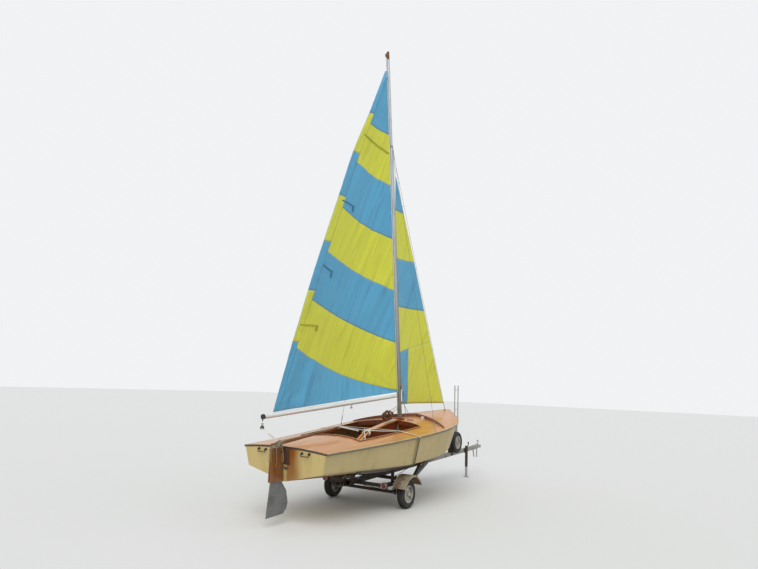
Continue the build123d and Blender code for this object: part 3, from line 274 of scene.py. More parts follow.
def wood(name, light, dark, along, scale, rough, coat, wear):
    """Grain that runs along one axis, darker figure lines and worn, greyer patches."""
    made = Finish(name, light, rough, coat=coat)
    stretch = [9.0 * scale] * 3
    stretch[along] = 0.55 * scale
    figure = made.noise(2.2, stretch, detail=7, rough=0.62, warp=0.9)
    fine = made.noise(14.0, stretch, detail=4)
    patches = made.noise(1.7, detail=4)
    grain = made.over(light, dark, figure, 0.33, 0.70)
    tone = tuple(0.75 * c + 0.25 * d for c, d in zip(light, dark))
    grain = made.over(grain, tone, fine, 0.35, 0.8, 0.55)
    grey = tuple(0.55 * c + 0.12 for c in dark)
    made.paint(made.over(grain, grey, patches, 0.52, 0.85, wear))
    made.roughen(made.span(patches, 0.3, 0.8, rough, min(1.0, rough + wear)))
    return made.bump(made.merge(figure, fine), 0.18, 0.0012)


def gloss_paint(name, color, dirt, rough, coat, streaks, stain):
    """Brushed paint with faint lap marks, runs of dirt down the side and scuffs."""
    made = Finish(name, color, rough, coat=coat)
    tone = made.noise(1.3, (1, 1, 1.6), detail=4)
    runs = made.noise(5.0, (3.0, 3.0, 0.35), detail=6)
    specks = made.noise(38.0, detail=3)
    base = made.over(color, dim(color, 0.88), tone, 0.3, 0.75)
    base = made.over(base, dirt, runs, 0.55, 0.86, streaks)
    made.paint(made.over(base, dirt, specks, 0.69, 0.78, stain))
    made.roughen(made.span(runs, 0.3, 0.8, rough, rough + 0.25))
    return made.bump(made.merge(made.noise(60.0, detail=2), made.span(runs, 0, 1, 0, 0.4)), 0.06, 0.001)


def metal(name, color, rough, scratch, tarnish, spots, along=2):
    """Drawn or cast metal with fine lines along one axis and dull patches."""
    made = Finish(name, color, rough, metallic=1.0)
    stretch = [24.0] * 3
    stretch[along] = 1.2
    lines = made.noise(6.0, stretch, detail=4)
    patches = made.noise(4.5)
    made.paint(made.over(color, tarnish, patches, 0.5, 0.8, spots))
    made.roughen(made.merge(made.span(lines, 0.3, 0.7, rough, rough + 0.2 * scratch),
                          made.span(patches, 0.4, 0.8, 0.0, 0.25)))
    return made.bump(lines, 0.06 * scratch, 0.0006)


def zinc(name, color):
    """Galvanized steel: spangle cells, white bloom and a little rust at the low spots."""
    made = Finish(name, color, 0.5, metallic=0.55)
    cells = made.texture("Voronoi", Scale=42.0).outputs["Distance"]
    bloom = made.noise(6.0, detail=6)
    rust = made.noise(9.0, (1, 1, 0.7), detail=6, rough=0.65)
    base = made.over(color, dim(color, 0.72), cells, 0.0, 0.6, 0.6)
    base = made.over(base, tint(190, 188, 180), bloom, 0.52, 0.75, 0.6)
    made.paint(made.over(base, tint(122, 82, 50), rust, 0.60, 0.74, 0.75))
    made.roughen(made.span(bloom, 0.3, 0.8, 0.4, 0.75))
    return made.bump(made.merge(bloom, rust), 0.12, 0.001)


def rusty_paint(name, color, rust, amount, scale=6.0):
    """Old enamel on steel, dulled, with rust that comes through in patches."""
    made = Finish(name, color, 0.6)
    broad = made.noise(scale, detail=7, rough=0.62)
    fine = made.noise(scale * 7, detail=4)
    field = made.merge(broad, made.span(fine, 0, 1, -0.08, 0.08))
    tone = made.over(color, dim(color, 0.7), fine, 0.3, 0.7)
    edge = made.over(tone, dim(rust, 0.55), field, 0.50, 0.56, amount)
    made.paint(made.over(edge, rust, field, 0.54, 0.68, amount))
    made.roughen(made.span(field, 0.4, 0.7, 0.5, 0.9))
    return made.bump(made.merge(field, made.span(fine, 0, 1, 0, 0.5)), 0.25, 0.0012)


def rubber(name, color, dust=(0.30, 0.27, 0.23), amount=0.45):
    """Dull rubber under a film of dust."""
    made = Finish(name, color, 0.75)
    film = made.noise(7.0, detail=6)
    grit = made.noise(90.0, detail=2)
    base = made.over(color, dust, film, 0.42, 0.8, amount)
    made.paint(made.over(base, dim(color, 0.5), grit, 0.6, 0.8, 0.3))
    made.roughen(made.span(film, 0.3, 0.8, 0.62, 0.92))
    return made.bump(grit, 0.12, 0.0006)


def woven(name, color, shade, weave, rough, sheen, soil):
    """Cloth with a fine crossed weave and soft soiled patches."""
    made = Finish(name, color, rough, sheen=sheen)
    thread = made.noise(weave, (1, 1, 0.12), detail=1)
    weft = made.noise(weave, (0.12, 0.12, 1), detail=1)
    threads = made.merge(thread, weft)
    base = made.over(color, shade, made.noise(2.4), 0.35, 0.8, soil)
    made.paint(made.over(base, shade, threads, 0.75, 1.25, 0.10))
    return made.bump(threads, 0.10, 0.0004)


def sailcloth(name, color, seam_and_crease_shade, shade):
    """Creased cloth, darkened in the creases as painted shade. Its UV map runs down each panel: double cloth
    and two rows of stitches at the seams.
    """
    made = Finish(name, color, 0.62, sheen=0.12)
    rim = made.merge(made.merge(made.split("UV")["Y"], 0.5, "SUBTRACT"), 0.0, "ABSOLUTE")
    double = made.span(rim, 0.478, 0.482)
    rows = [made.merge(made.span(rim, a, b), made.span(rim, c, d), "SUBTRACT")
            for a, b, c, d in ((0.4805, 0.4825, 0.4835, 0.4855), (0.4925, 0.4940, 0.4950, 0.4965))]
    soft = made.noise(1.4, (1, 1, 0.7))
    fine = made.noise(650.0, (1, 1, 0.15), detail=1)
    crease = made.noise(2.4, (4.2, 1.0, 0.45), detail=4, rough=0.5, warp=0.4, lean=math.radians(-21.7))
    base = made.over(color, shade, soft, 0.35, 0.78, 0.45)
    # The creases are darkened with the seam colour: painted shade in the folds.
    base = made.over(base, seam_and_crease_shade, crease, 0.56, 0.68, 0.42)
    base = made.over(base, seam_and_crease_shade, double, 0, 1, 0.55)
    made.paint(made.over(base, tint(214, 216, 206), made.merge(*rows), 0, 1, 0.5))
    height = made.merge(made.span(crease, 0.2, 0.8), made.span(fine, 0, 1, 0, 0.05))
    return made.bump(made.merge(height, made.span(double, 0, 1, 0.0, 0.12)), 0.7, 0.02)


def rope(name, color, fleck):
    """Laid rope: slanting strands with painted shade between them, and flecks of dirt."""
    made = Finish(name, color, 0.85, sheen=0.1)
    bands = made.texture("Wave", Scale=34.0, Distortion=1.0)
    bands.bands_direction = "DIAGONAL"
    strands = bands.outputs["Fac"]
    # Part of each slanting band is darkened: painted shade in the grooves between the strands.
    base = made.over(color, dim(color, 0.62), strands, 0.3, 0.9, 0.35)
    made.paint(made.over(base, fleck, made.noise(60.0, detail=2), 0.6, 0.75, 0.6))
    return made.bump(strands, 0.25, 0.001)


def rail_with_wear_and_painted_shade(name):
    """Cream paint, worn and weathered dark, and darkened on the rail's outer and lower faces by their normals
    as painted shade.
    """
    made = Finish(name, tint(206, 192, 150), 0.55)
    wear = made.noise(9.0, (0.6, 1, 1), detail=6)
    # Faces that point sideways or down take the dark colour: painted shade under the rail, joined by the worn
    # patches.
    side = made.span(made.split("Normal")["Z"], -0.30, 0.65, 0.85, 0.0)
    side = made.merge(side, made.span(wear, 0.60, 0.80, 0.0, 0.7), "MAXIMUM")
    dark = made.over(tint(58, 52, 46), tint(98, 88, 74), wear, 0.35, 0.6)
    cream = made.over(tint(212, 198, 158), tint(178, 158, 118), wear, 0.4, 0.7)
    made.paint(made.mix(side, cream, dark))
    return made.bump(wear, 0.2, 0.001)


def stained_transom(name):
    """The hull's paint with a brown run-off stain beside the rudder's pad."""
    made = Finish(name, tint(206, 184, 122), 0.4, coat=0.2)
    axes = made.split()
    cloud = made.noise(6.0, (1, 1, 0.5), detail=6)
    runs = made.noise(7.0, (3.0, 3.0, 0.3))
    away = made.merge(axes["Y"], made.span(cloud, 0, 1, -0.05, 0.05))
    beside = made.merge(made.span(away, -0.33, -0.17), made.span(away, -0.06, -0.02, 1.0, 0.0), "MULTIPLY")
    low = made.span(made.span(axes["Z"], 0.50, 0.95), 0, 1, 0.6, 1.0)
    base = made.over(tint(200, 178, 116), tint(160, 130, 72), runs, 0.5, 0.85, 0.4)
    base = made.mix(made.merge(beside, low, "MULTIPLY"), base, tint(138, 76, 12))
    made.paint(made.over(base, tint(120, 96, 52), axes["Z"], 0.62, 0.44, 0.45))
    made.roughen(made.span(runs, 0.3, 0.8, 0.35, 0.65))
    return made.bump(runs, 0.08, 0.001)


def edged_coaming(name):
    """Mahogany with a pale, worn upper edge."""
    made = Finish(name, tint(140, 72, 36), 0.4, coat=0.25)
    grain = made.noise(2.4, (0.7, 9, 9), detail=7, rough=0.62, warp=0.8)
    wear = made.noise(5.0, detail=6)
    body = made.over(tint(138, 70, 34), tint(86, 38, 18), grain, 0.35, 0.7)
    edge = made.over(tint(226, 184, 132), tint(190, 130, 76), wear, 0.4, 0.7)
    made.paint(made.over(body, edge, made.split("Normal")["Z"], 0.8, 0.95))
    return made.bump(grain, 0.15, 0.001)


def weathered_mast(name):
    """Silver alloy that browns and dulls towards the foot."""
    made = Finish(name, tint(190, 194, 196), 0.34, metallic=0.9)
    lines = made.noise(6.0, (24, 24, 1.0), detail=4)
    patches = made.noise(4.0, (1, 1, 0.4), detail=6)
    height = made.merge(made.split()["Z"], made.span(patches, 0, 1, -0.7, 0.7))
    base = made.over(tint(192, 198, 202), tint(150, 148, 140), patches, 0.45, 0.75, 0.6)
    made.paint(made.mix(made.span(height, 1.4, 4.4, 0.85, 0.0), base, tint(128, 120, 98)))
    made.roughen(made.merge(made.span(lines, 0.3, 0.7, 0.3, 0.48), made.span(height, 1.0, 4.0, 0.2, 0.0)))
    return made.bump(lines, 0.05, 0.0006)


def boom_with_painted_reflection(name):
    """Bright alloy above, with a painted reflection of the brown ground on its underside."""
    made = Finish(name, tint(226, 228, 226), 0.42, metallic=0.35)
    wear = made.noise(7.0, (0.4, 1, 1), detail=6)
    # Faces that point down are painted brown: a painted reflection of the ground below the boom.
    below = made.merge(made.split("Normal")["Z"], made.span(wear, 0, 1, -0.15, 0.15))
    bright = made.over(tint(232, 234, 232), tint(196, 194, 186), wear, 0.5, 0.8, 0.6)
    made.paint(made.mix(made.span(below, -0.9, -0.65, 1.0, 0.0), bright, tint(128, 100, 66)))
    made.roughen(made.span(wear, 0.3, 0.8, 0.35, 0.6))
    return made.bump(made.noise(6.0, (1, 24, 24), detail=3), 0.05, 0.0006)


def tongue_with_painted_shadow(name):
    """Dark painted shadow under the boat, with rust patches, that gives way to bare zinc towards the coupler.
    """
    made = Finish(name, tint(120, 118, 112), 0.55, metallic=0.4)
    broad = made.noise(7.0, detail=7, rough=0.62)
    fine = made.noise(44.0, detail=4)
    # Aft of the bare zinc, under the boat, the tongue is painted dark as painted shadow.
    forward = made.merge(made.split()["X"], made.span(broad, 0, 1, -0.35, 0.35))
    dark = made.over(tint(58, 54, 50), tint(104, 62, 40), broad, 0.5, 0.66, 0.6)
    pale = made.over(tint(158, 158, 152), tint(112, 110, 104), fine, 0.4, 0.7, 0.7)
    pale = made.over(pale, tint(118, 76, 48), broad, 0.58, 0.72, 0.8)
    made.paint(made.over(dark, pale, forward, 0.75, 1.25))
    made.roughen(made.span(broad, 0.3, 0.8, 0.45, 0.8))
    return made.bump(made.merge(broad, fine), 0.15, 0.001)


def soiled_strap(name):
    """Webbing, pale on the deck and brown lower down the side."""
    made = Finish(name, tint(206, 196, 160), 0.85, sheen=0.2)
    soil = made.noise(9.0, detail=6)
    ribs = made.noise(300.0, (0.1, 1, 1), detail=1)
    top = made.span(made.merge(made.split()["Z"], made.span(soil, 0, 1, -0.02, 0.02)), 1.085, 1.115)
    down = made.over(tint(96, 76, 50), tint(66, 54, 40), soil, 0.35, 0.7)
    over = made.over(tint(240, 230, 196), tint(204, 188, 146), soil, 0.4, 0.75)
    made.paint(made.mix(top, down, over))
    return made.bump(ribs, 0.2, 0.0008)


def ribbed_lens(name):
    """Red lens with moulded ribs, painted dark and light across the ribs as painted shade and highlight, and a
    film of dust.
    """
    made = Finish(name, tint(150, 24, 18), 0.2, coat=0.6)
    wave = made.texture("Wave", Scale=40.0)
    wave.bands_direction = "Z"
    ribs = wave.outputs["Fac"]
    # The ribs are painted in alternate dark and light red: painted shade and highlight on the moulding.
    lens = made.mix(ribs, tint(92, 14, 11), tint(140, 28, 20))
    made.paint(made.over(lens, tint(120, 96, 78), made.noise(14.0), 0.5, 0.8, 0.5))
    return made.bump(ribs, 0.5, 0.001)


def finishes():
    """Every finish by its name. Most are named as the slots in the model's record."""
    for kind, name, *values in [
        (gloss_paint, "hull_paint", tint(190, 171, 120), tint(124, 102, 64), 0.45, 0.15, 0.4, 0.35),
        (gloss_paint, "board_paint", tint(160, 146, 112), tint(96, 80, 56), 0.38, 0.25, 0.5, 0.35),
        (gloss_paint, "white_tube", tint(238, 236, 230), tint(168, 160, 142), 0.4, 0.2, 0.3, 0.2),
        (wood, "deck_varnish", tint(216, 152, 74), tint(186, 114, 44), 0, 1.0, 0.34, 0.30, 0.10),
        (wood, "mahogany", tint(140, 72, 36), tint(88, 40, 18), 0, 1.3, 0.36, 0.3, 0.12),
        (wood, "light_wood", tint(176, 134, 84), tint(128, 90, 52), 0, 1.0, 0.6, 0.1, 0.3),
        (wood, "rudder_wood", tint(142, 88, 34), tint(92, 52, 16), 2, 1.6, 0.32, 0.5, 0.2),
        (wood, "masthead_wood", tint(136, 88, 50), tint(84, 50, 28), 2, 1.6, 0.5, 0.2, 0.3),
        (wood, "pad_wood", tint(92, 54, 30), tint(56, 32, 18), 2, 1.6, 0.5, 0.2, 0.2),
        (metal, "spar_alloy", tint(200, 204, 206), 0.32, 0.7, tint(140, 132, 118), 0.55),
        (metal, "steel_fitting", tint(160, 160, 158), 0.3, 0.5, tint(96, 84, 72), 0.7),
        (metal, "wire", tint(118, 118, 116), 0.38, 0.8, tint(104, 96, 86), 0.5),
        (metal, "blade_alloy", tint(138, 140, 140), 0.52, 1.0, tint(108, 104, 96), 0.7, 0),
        (metal, "dark_steel", tint(96, 92, 86), 0.45, 0.6, tint(70, 56, 46), 0.8),
        (metal, "chrome", tint(186, 186, 184), 0.22, 0.4, tint(120, 104, 88), 0.5),
        (zinc, "galvanized", tint(172, 172, 168)),
        (rusty_paint, "trailer_paint", tint(62, 58, 54), tint(98, 56, 34), 0.5),
        (rusty_paint, "guard_metal", tint(170, 156, 132), tint(112, 78, 52), 0.55, 4.0),
        (rusty_paint, "rim_paint", tint(196, 194, 184), tint(112, 80, 56), 0.45, 11.0),
        (rubber, "spar_end", tint(46, 46, 48), tint(112, 108, 102), 0.25),
        (rubber, "tyre", tint(38, 38, 38), tint(104, 98, 88), 0.5),
        (rubber, "roller_rubber", tint(44, 44, 44)),
        (woven, "bunk_carpet", tint(92, 88, 80), tint(62, 58, 52), 240.0, 0.95, 0.5, 0.5),
        (woven, "pockets_blue", tint(62, 122, 156), tint(50, 104, 138), 500.0, 0.75, 0.1, 0.4),
        (woven, "pockets_yellow", tint(168, 170, 46), tint(150, 152, 40), 500.0, 0.75, 0.1, 0.4),
        (sailcloth, "sail_blue", tint(90, 168, 206), tint(58, 128, 172), tint(78, 152, 192)),
        (sailcloth, "sail_yellow", tint(216, 218, 68), tint(176, 180, 42), tint(204, 206, 60)),
        (rope, "white_rope", tint(240, 238, 230), tint(150, 158, 172)),
        (rope, "old_rope", tint(150, 138, 112), tint(100, 88, 66)),
        (rope, "brown_rope", tint(116, 74, 42), tint(70, 44, 26)),
        (rail_with_wear_and_painted_shade, "rail_paint"), (soiled_strap, "strap_web"), (ribbed_lens, "lamp_red"),
        (stained_transom, "transom"), (edged_coaming, "coaming"), (weathered_mast, "mast"),
        (boom_with_painted_reflection, "boom"), (tongue_with_painted_shadow, "tongue"),
    ]:
        LOOKS[name] = kind(name, *values)


# Modelling

def deselect():
    if bpy.context.object and bpy.context.object.mode != "OBJECT":
        bpy.ops.object.mode_set(mode="OBJECT")
    bpy.ops.object.select_all(action="DESELECT")


def only(piece):
    deselect()
    piece.select_set(True)
    bpy.context.view_layer.objects.active = piece


def edited(piece):
    """Everything in the piece selected in edit mode."""
    only(piece)
    bpy.ops.object.mode_set(mode="EDIT")
    bpy.ops.mesh.select_all(action="SELECT")


def settled(piece):
    """Put the piece's place, turn and size into its mesh."""
    only(piece)
    bpy.ops.object.transform_apply(location=True, rotation=True, scale=True)
    return piece


def joined(pieces):
    deselect()
    for piece in pieces:
        piece.select_set(True)
    bpy.context.view_layer.objects.active = pieces[0]
    if len(pieces) > 1:
        bpy.ops.object.join()
    return bpy.context.object


def copied(pattern, place, turn=(0, 0, 0), scale=1.0):
    """Copy, with its own mesh, of a piece modelled at the origin."""
    copy = pattern.copy()
    copy.data = pattern.data.copy()
    bpy.context.collection.objects.link(copy)
    copy.location, copy.rotation_euler, copy.scale = place, turn, (scale, scale, scale)
    return settled(copy)


def dropped(pattern):
    bpy.data.objects.remove(pattern, do_unlink=True)


def outward(piece):
    """Close doubled points and turn all faces outwards."""
    edited(piece)
    bpy.ops.mesh.remove_doubles(threshold=1e-5)
    bpy.ops.mesh.normals_make_consistent(inside=False)
    bpy.ops.object.mode_set(mode="OBJECT")
    return piece


def dressed(name, pieces, body, slot, look=None, smooth=35):
    """One named piece from several, on its body, in its slot's finish or another look."""
    whole = joined(pieces)
    whole.name = whole.data.name = name
    whole.data.materials.clear()
    whole.data.materials.append(LOOKS[look or slot])
    for face in whole.data.polygons:
        face.material_index = 0
    if smooth:
        only(whole)
        bpy.ops.object.shade_smooth_by_angle(angle=math.radians(smooth))
    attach(whole, body)
    return whole


def facing(direction):
    """Turn that puts a primitive's Z axis along direction."""
    return Vector(direction).to_track_quat("Z", "Y").to_euler()


def block(centre, size, bevel=0.002, turn=(0, 0, 0)):
    """Bar or plate with rounded edges."""
    deselect()
    bpy.ops.mesh.primitive_cube_add(size=1, location=centre, rotation=turn, scale=size)
    piece = settled(bpy.context.object)
    edited(piece)
    bpy.ops.mesh.bevel(offset=bevel, segments=2)
    bpy.ops.object.mode_set(mode="OBJECT")
    return piece


def drawn_up(rows, sides, fill="NGON"):
    """Circle extruded along Z through (height, radius) rows."""
    deselect()
    height, radius = rows[0]
    bpy.ops.mesh.primitive_circle_add(vertices=sides, radius=radius, fill_type=fill, location=(0, 0, height))
    piece = settled(bpy.context.object)
    edited(piece)
    for next_height, next_radius in rows[1:]:
        bpy.ops.mesh.extrude_region_move(TRANSFORM_OT_translate={"value": (0, 0, next_height - height)})
        factor = next_radius / radius
        bpy.ops.transform.resize(value=(factor, factor, 1), center_override=(0, 0, next_height))
        height, radius = next_height, next_radius
    bpy.ops.object.mode_set(mode="OBJECT")
    return piece


def turned(centre, axis, rows, sides=20):
    """Turned piece along an axis, closed at both ends."""
    piece = drawn_up(rows, sides)
    piece.location, piece.rotation_euler = centre, facing(axis)
    return outward(settled(piece))


def ring(centre, axis, major, minor, around=20, across=8, squash=(1, 1, 1)):
    deselect()
    bpy.ops.mesh.primitive_torus_add(major_radius=major, minor_radius=minor, major_segments=around,
                                     minor_segments=across, location=(0, 0, 0))
    piece = bpy.context.object
    piece.scale = squash
    settled(piece)
    piece.location, piece.rotation_euler = centre, facing(axis)
    return settled(piece)


def line(points, radius, order=3, resolution=8):
    """Rope, wire or bent rod through guiding points. A plain (x, y, z) point is a place in the source."""
    curve = bpy.data.curves.new("line", "CURVE")
    curve.dimensions = "3D"
    curve.bevel_depth = radius
    curve.bevel_resolution = 3
    curve.resolution_u = resolution
    curve.use_fill_caps = True
    spline = curve.splines.new("NURBS" if order > 2 else "POLY")
    spline.points.add(len(points) - 1)
    for knot, point in zip(spline.points, points):
        knot.co = (*(at(*point) if isinstance(point, tuple) else point), 1)
    if order > 2:
        spline.order_u = min(order, len(points))
        spline.use_endpoint_u = True
    piece = bpy.data.objects.new("line", curve)
    bpy.context.collection.objects.link(piece)
    only(piece)
    bpy.ops.object.convert(target="MESH")
    return bpy.context.object


def between(a, b, t):
    return a + (b - a) * t


# Sails

def leech_x(z):
    """The mainsail's leech at height z, on a smooth curve through the ends of the seams."""
    rows = [(row[1], row[0]) for row in MAIN_SEAMS]
    for i in range(MAIN_LAST):
        (z0, x0), (z1, x1) = rows[i], rows[i + 1]
        if z >= z1 or i == MAIN_LAST - 1:
            t = (z - z0) / (z1 - z0)
            before = rows[i - 1][1] if i else 2 * x0 - x1
            after = rows[i + 2][1] if i + 2 < len(rows) else 2 * x1 - x0
            return x0 + 0.5 * t * (x1 - before + t * (2 * before - 5 * x0 + 4 * x1 - after
                                                      + t * (3 * (x0 - x1) + after - before)))


def mast_point(z, aft=0.0, y=0.0):
    """Point beside the mast's axis where the axis is at the source's height z."""
    t = (z - FLOOR - MAST_FOOT.z) / (MAST_TOP.z - MAST_FOOT.z)
    return between(MAST_FOOT, MAST_TOP, t) + MAST_AFT * aft + Vector((0, y, 0))


def luff_point(z):
    return mast_point(z) - Vector((LUFF_AFT / MAST_UP.z, 0, 0))


def swing(point):
    """Turn a point of the sail from the centreline to where the boom lies."""
    pin = mast_point(GOOSENECK_Z, LUFF_AFT)
    return pin + Matrix.Rotation(-BOOM_SWING, 3, MAST_UP) @ (point - pin)


def main_point(u, k):
    """Point of the mainsail: u from luff to leech, k counts seams down from the head."""
    i = min(int(k), MAIN_LAST - 1)
    t = k - i
    upper, lower = MAIN_SEAMS[i], MAIN_SEAMS[i + 1]
    luff = luff_point(between(upper[3], lower[3], t))
    z = between(upper[2], lower[2], t)
    leech = at(leech_x(z), 0, z)
    chord = (leech - luff).length
    belly = 4 * u * (1 - u) * (1 + 0.25 * (0.5 - u))
    camber = MAIN_CAMBER if k < MAIN_LAST - 1 else between(MAIN_CAMBER, FOOT_CAMBER, k - MAIN_LAST + 1)
    sag = between(SEAM_SAG[i], SEAM_SAG[i + 1], t) * chord * 4 * u * (1 - u)
    point = between(luff, leech, u) + Vector((0, camber * chord * belly, -sag))
    # Scallops at the luff, rays from the lower corners, folds down the cloth and a crumpled leech
    ripple = 0.009 * math.exp(-u * chord / 0.16) * math.cos(point.z * TAU / 0.56)
    foot = MAIN_SEAMS[-1]
    for corner, depth in ((luff_point(foot[3]), 0.011), (at(foot[0], 0, foot[1]), 0.008)):
        reach = point - corner
        angle = math.atan2(reach.z, abs(reach.x) + 1e-6)
        ripple += depth * math.exp(-reach.length / 0.55) * math.sin(angle * 17) * min(1, reach.length / 0.1)
    across, along = 0.93 * point.x - 0.37 * point.z, 0.37 * point.x + 0.93 * point.z
    fold = noise.noise(Vector((across * 6.5, 1.0, along * 0.55)))
    fold += 0.5 * noise.noise(Vector((across * 13.0, 7.0, along * 0.9)))
    strength = 0.5 + noise.noise(Vector((point.x * 0.8, 12.0, point.z * 0.7)))
    ripple += 0.030 * fold * max(0.2, strength)
    ripple += 0.010 * noise.noise(Vector((point.x * 1.6, 1.0, point.z * 1.1)))
    crumple = noise.noise(Vector((point.x * 4.0 + point.z * 2.0, 4.0, point.z * 9.0)))
    ripple += 0.014 * math.exp(-(1 - u) * chord / 0.30) * crumple
    ripple -= 0.030 * min(1.0, 5 * u, 5 * (1 - u))      # clear of the port shroud
    hold = min(1.0, 12 * u + 0.15, 14 * (1 - u) + 0.35)
    return swing(point + Vector((0, ripple * hold, 0)))


def jib_point(u, k):
    """Point of the jib: u from luff to leech, k counts seams down from the head."""
    i = min(int(k), JIB_LAST - 1)
    upper, lower = JIB_SEAMS[i], JIB_SEAMS[i + 1]
    leech_at, leech_z, luff_at, luff_z = (between(a, b, k - i) for a, b in zip(upper[:4], lower))
    leech, luff = at(leech_at, 0, leech_z), at(luff_at, 0, luff_z)
    chord = (leech - luff).length
    point = between(luff, leech, u) + Vector((0, JIB_CAMBER * chord * 4 * u * (1 - u), 0))
    ripple = 0.007 * math.exp(-u * chord / 0.12) * math.cos(point.z * TAU / 0.45)
    ripple += 0.009 * noise.noise(Vector((point.x * 2.2, 9.0, point.z * 1.5)))
    ripple += 0.003 * noise.noise(Vector((point.x * 6.0, 3.0, point.z * 4.0)))
    hold = min(1.0, 12 * u + 0.1, 14 * (1 - u) + 0.3)
    return point + Vector((0, ripple * hold, 0))


def body_row(z):
    """Seam count k at which the mainsail's body meets the leech at height z."""
    for i in range(MAIN_LAST):
        high, low = MAIN_SEAMS[i][2], MAIN_SEAMS[i + 1][2]
        if z >= low or i == MAIN_LAST - 1:
            return max(0.0, i + (high - z) / (high - low))


def panel(place, across, rows, lift=0.0):
    """Panel of cloth: a grid whose corners go where place(u, v) says, lifted to port."""
    deselect()
    bpy.ops.mesh.primitive_grid_add(x_subdivisions=across, y_subdivisions=rows, size=2)
    piece = bpy.context.object
    for vertex in piece.data.vertices:
        vertex.co = place((vertex.co.x + 1) / 2, (vertex.co.y + 1) / 2) + Vector((0, lift, 0))
    return piece


def thickened(piece, thickness=0.0012):
    only(piece)
    wall = piece.modifiers.new("cloth", "SOLIDIFY")
    wall.thickness = thickness
    wall.offset = 0
    bpy.ops.object.modifier_apply(modifier=wall.name)
    return piece


def sewn(sail, parts, body):
    """Each colour's panels as one stretched sheet, which replaces the model's thicker one."""
    for colour, pieces in parts.items():
        slot = "sail_" + colour
        cloth = thickened(dressed(sail + "_cloth_" + colour, pieces, body, slot, slot, 0))
        for face in cloth.data.polygons:
            face.use_smooth = True
        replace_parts(cloth, sail + "_" + colour)


def mainsail():
    """Bands of the body, and the shorter bands of the leech strip on both its sides."""
    parts = {"blue": [], "yellow": []}
    for i, row in enumerate(MAIN_SEAMS[:-1]):
        depth = 1.0 if i == MAIN_LAST - 1 else 1.0 + LAP
        parts[row[4]].append(panel(lambda u, v: main_point(u, min(MAIN_LAST, i + v * depth)), 64, 26,
                                   SEAM_STEP * (i % 2)))
    for i, row in enumerate(MAIN_SEAMS[:-1]):
        def strip(u, v):
            wide = between(STRIP_WIDE[i], STRIP_WIDE[i + 1], v)
            rise = 0.35 * wide * (1 - u) * min(1.0, i + v, MAIN_LAST - i - v)
            z = between(row[1], MAIN_SEAMS[i + 1][1], v) + rise
            k = body_row(min(z, MAIN_SEAMS[0][2]))
            chord = max(0.12, (main_point(1, k) - main_point(0, k)).length)
            return main_point(1 - min(0.95, wide * (1 - u) / chord), k)
        for lift in (-0.004, 0.004):
            parts[row[4]].append(panel(strip, 6, 22, lift))
    sewn("mainsail", parts, BOOM)


def jib():
    """Bands, the lowest with a blue strip down its leech."""
    parts = {"blue": [], "yellow": []}

    def strip_edge(v):
        upper, lower = JIB_SEAMS[-2:]
        leech, luff = between(upper[0], lower[0], v), between(upper[2], lower[2], v)
        return (luff - JIB_STRIP_X) / (luff - leech)

    for i, row in enumerate(JIB_SEAMS[:-2]):
        parts[row[4]].append(panel(lambda u, v: jib_point(u, min(JIB_LAST, i + v * (1 + LAP))), 30, 22,
                                   SEAM_STEP * (i % 2)))
    foot = JIB_LAST - 1
    parts["yellow"].append(panel(lambda u, v: jib_point(strip_edge(v) * u, foot + v), 22, 22))
    parts["blue"].append(panel(lambda u, v: jib_point(between(strip_edge(v), 1.0, u), foot + v), 10, 22))
    sewn("jib", parts, BOAT)


def batten_pockets():
    """Strips of double cloth that run in from the leech, each with a patch at its inner end."""
    def k_for(u, z):
        low, high = 0.0, float(MAIN_LAST)
        for _ in range(26):
            middle = (low + high) / 2
            if main_point(u, middle).z > z - FLOOR:
                low = middle
            else:
                high = middle
        return low

    def strip(z_out, z_in, start, length, wide):
        k = body_row(z_out)
        chord = (main_point(1, k) - main_point(0, k)).length

        def place(u, v):
            inward = 1 - min(0.985, between(start, length, u) / chord)
            return main_point(inward, k_for(inward, between(z_out, z_in, u) + (v - 0.5) * wide))
        return panel(place, 24, 3, -0.006)

    # Height at the leech and at the inner end, start and end of the strip from the leech, width
    for colour, rows in (
            ("yellow", [(6.275, 6.180, 0.08, 0.88, 0.036), (2.76, 2.785, 0.05, 0.46, 0.024),
                        (2.75, 2.75, 0.44, 0.50, 0.09)]),
            ("blue", [(4.93, 4.915, 0.12, 0.47, 0.028), (4.87, 4.87, 0.43, 0.48, 0.12),
                      (3.76, 3.69, 0.16, 0.46, 0.028), (3.655, 3.655, 0.42, 0.47, 0.12)])):
        name = "pockets_" + colour
        thickened(dressed(name, [strip(*row) for row in rows], BOOM, "sail_" + colour, name, 0), 0.001)


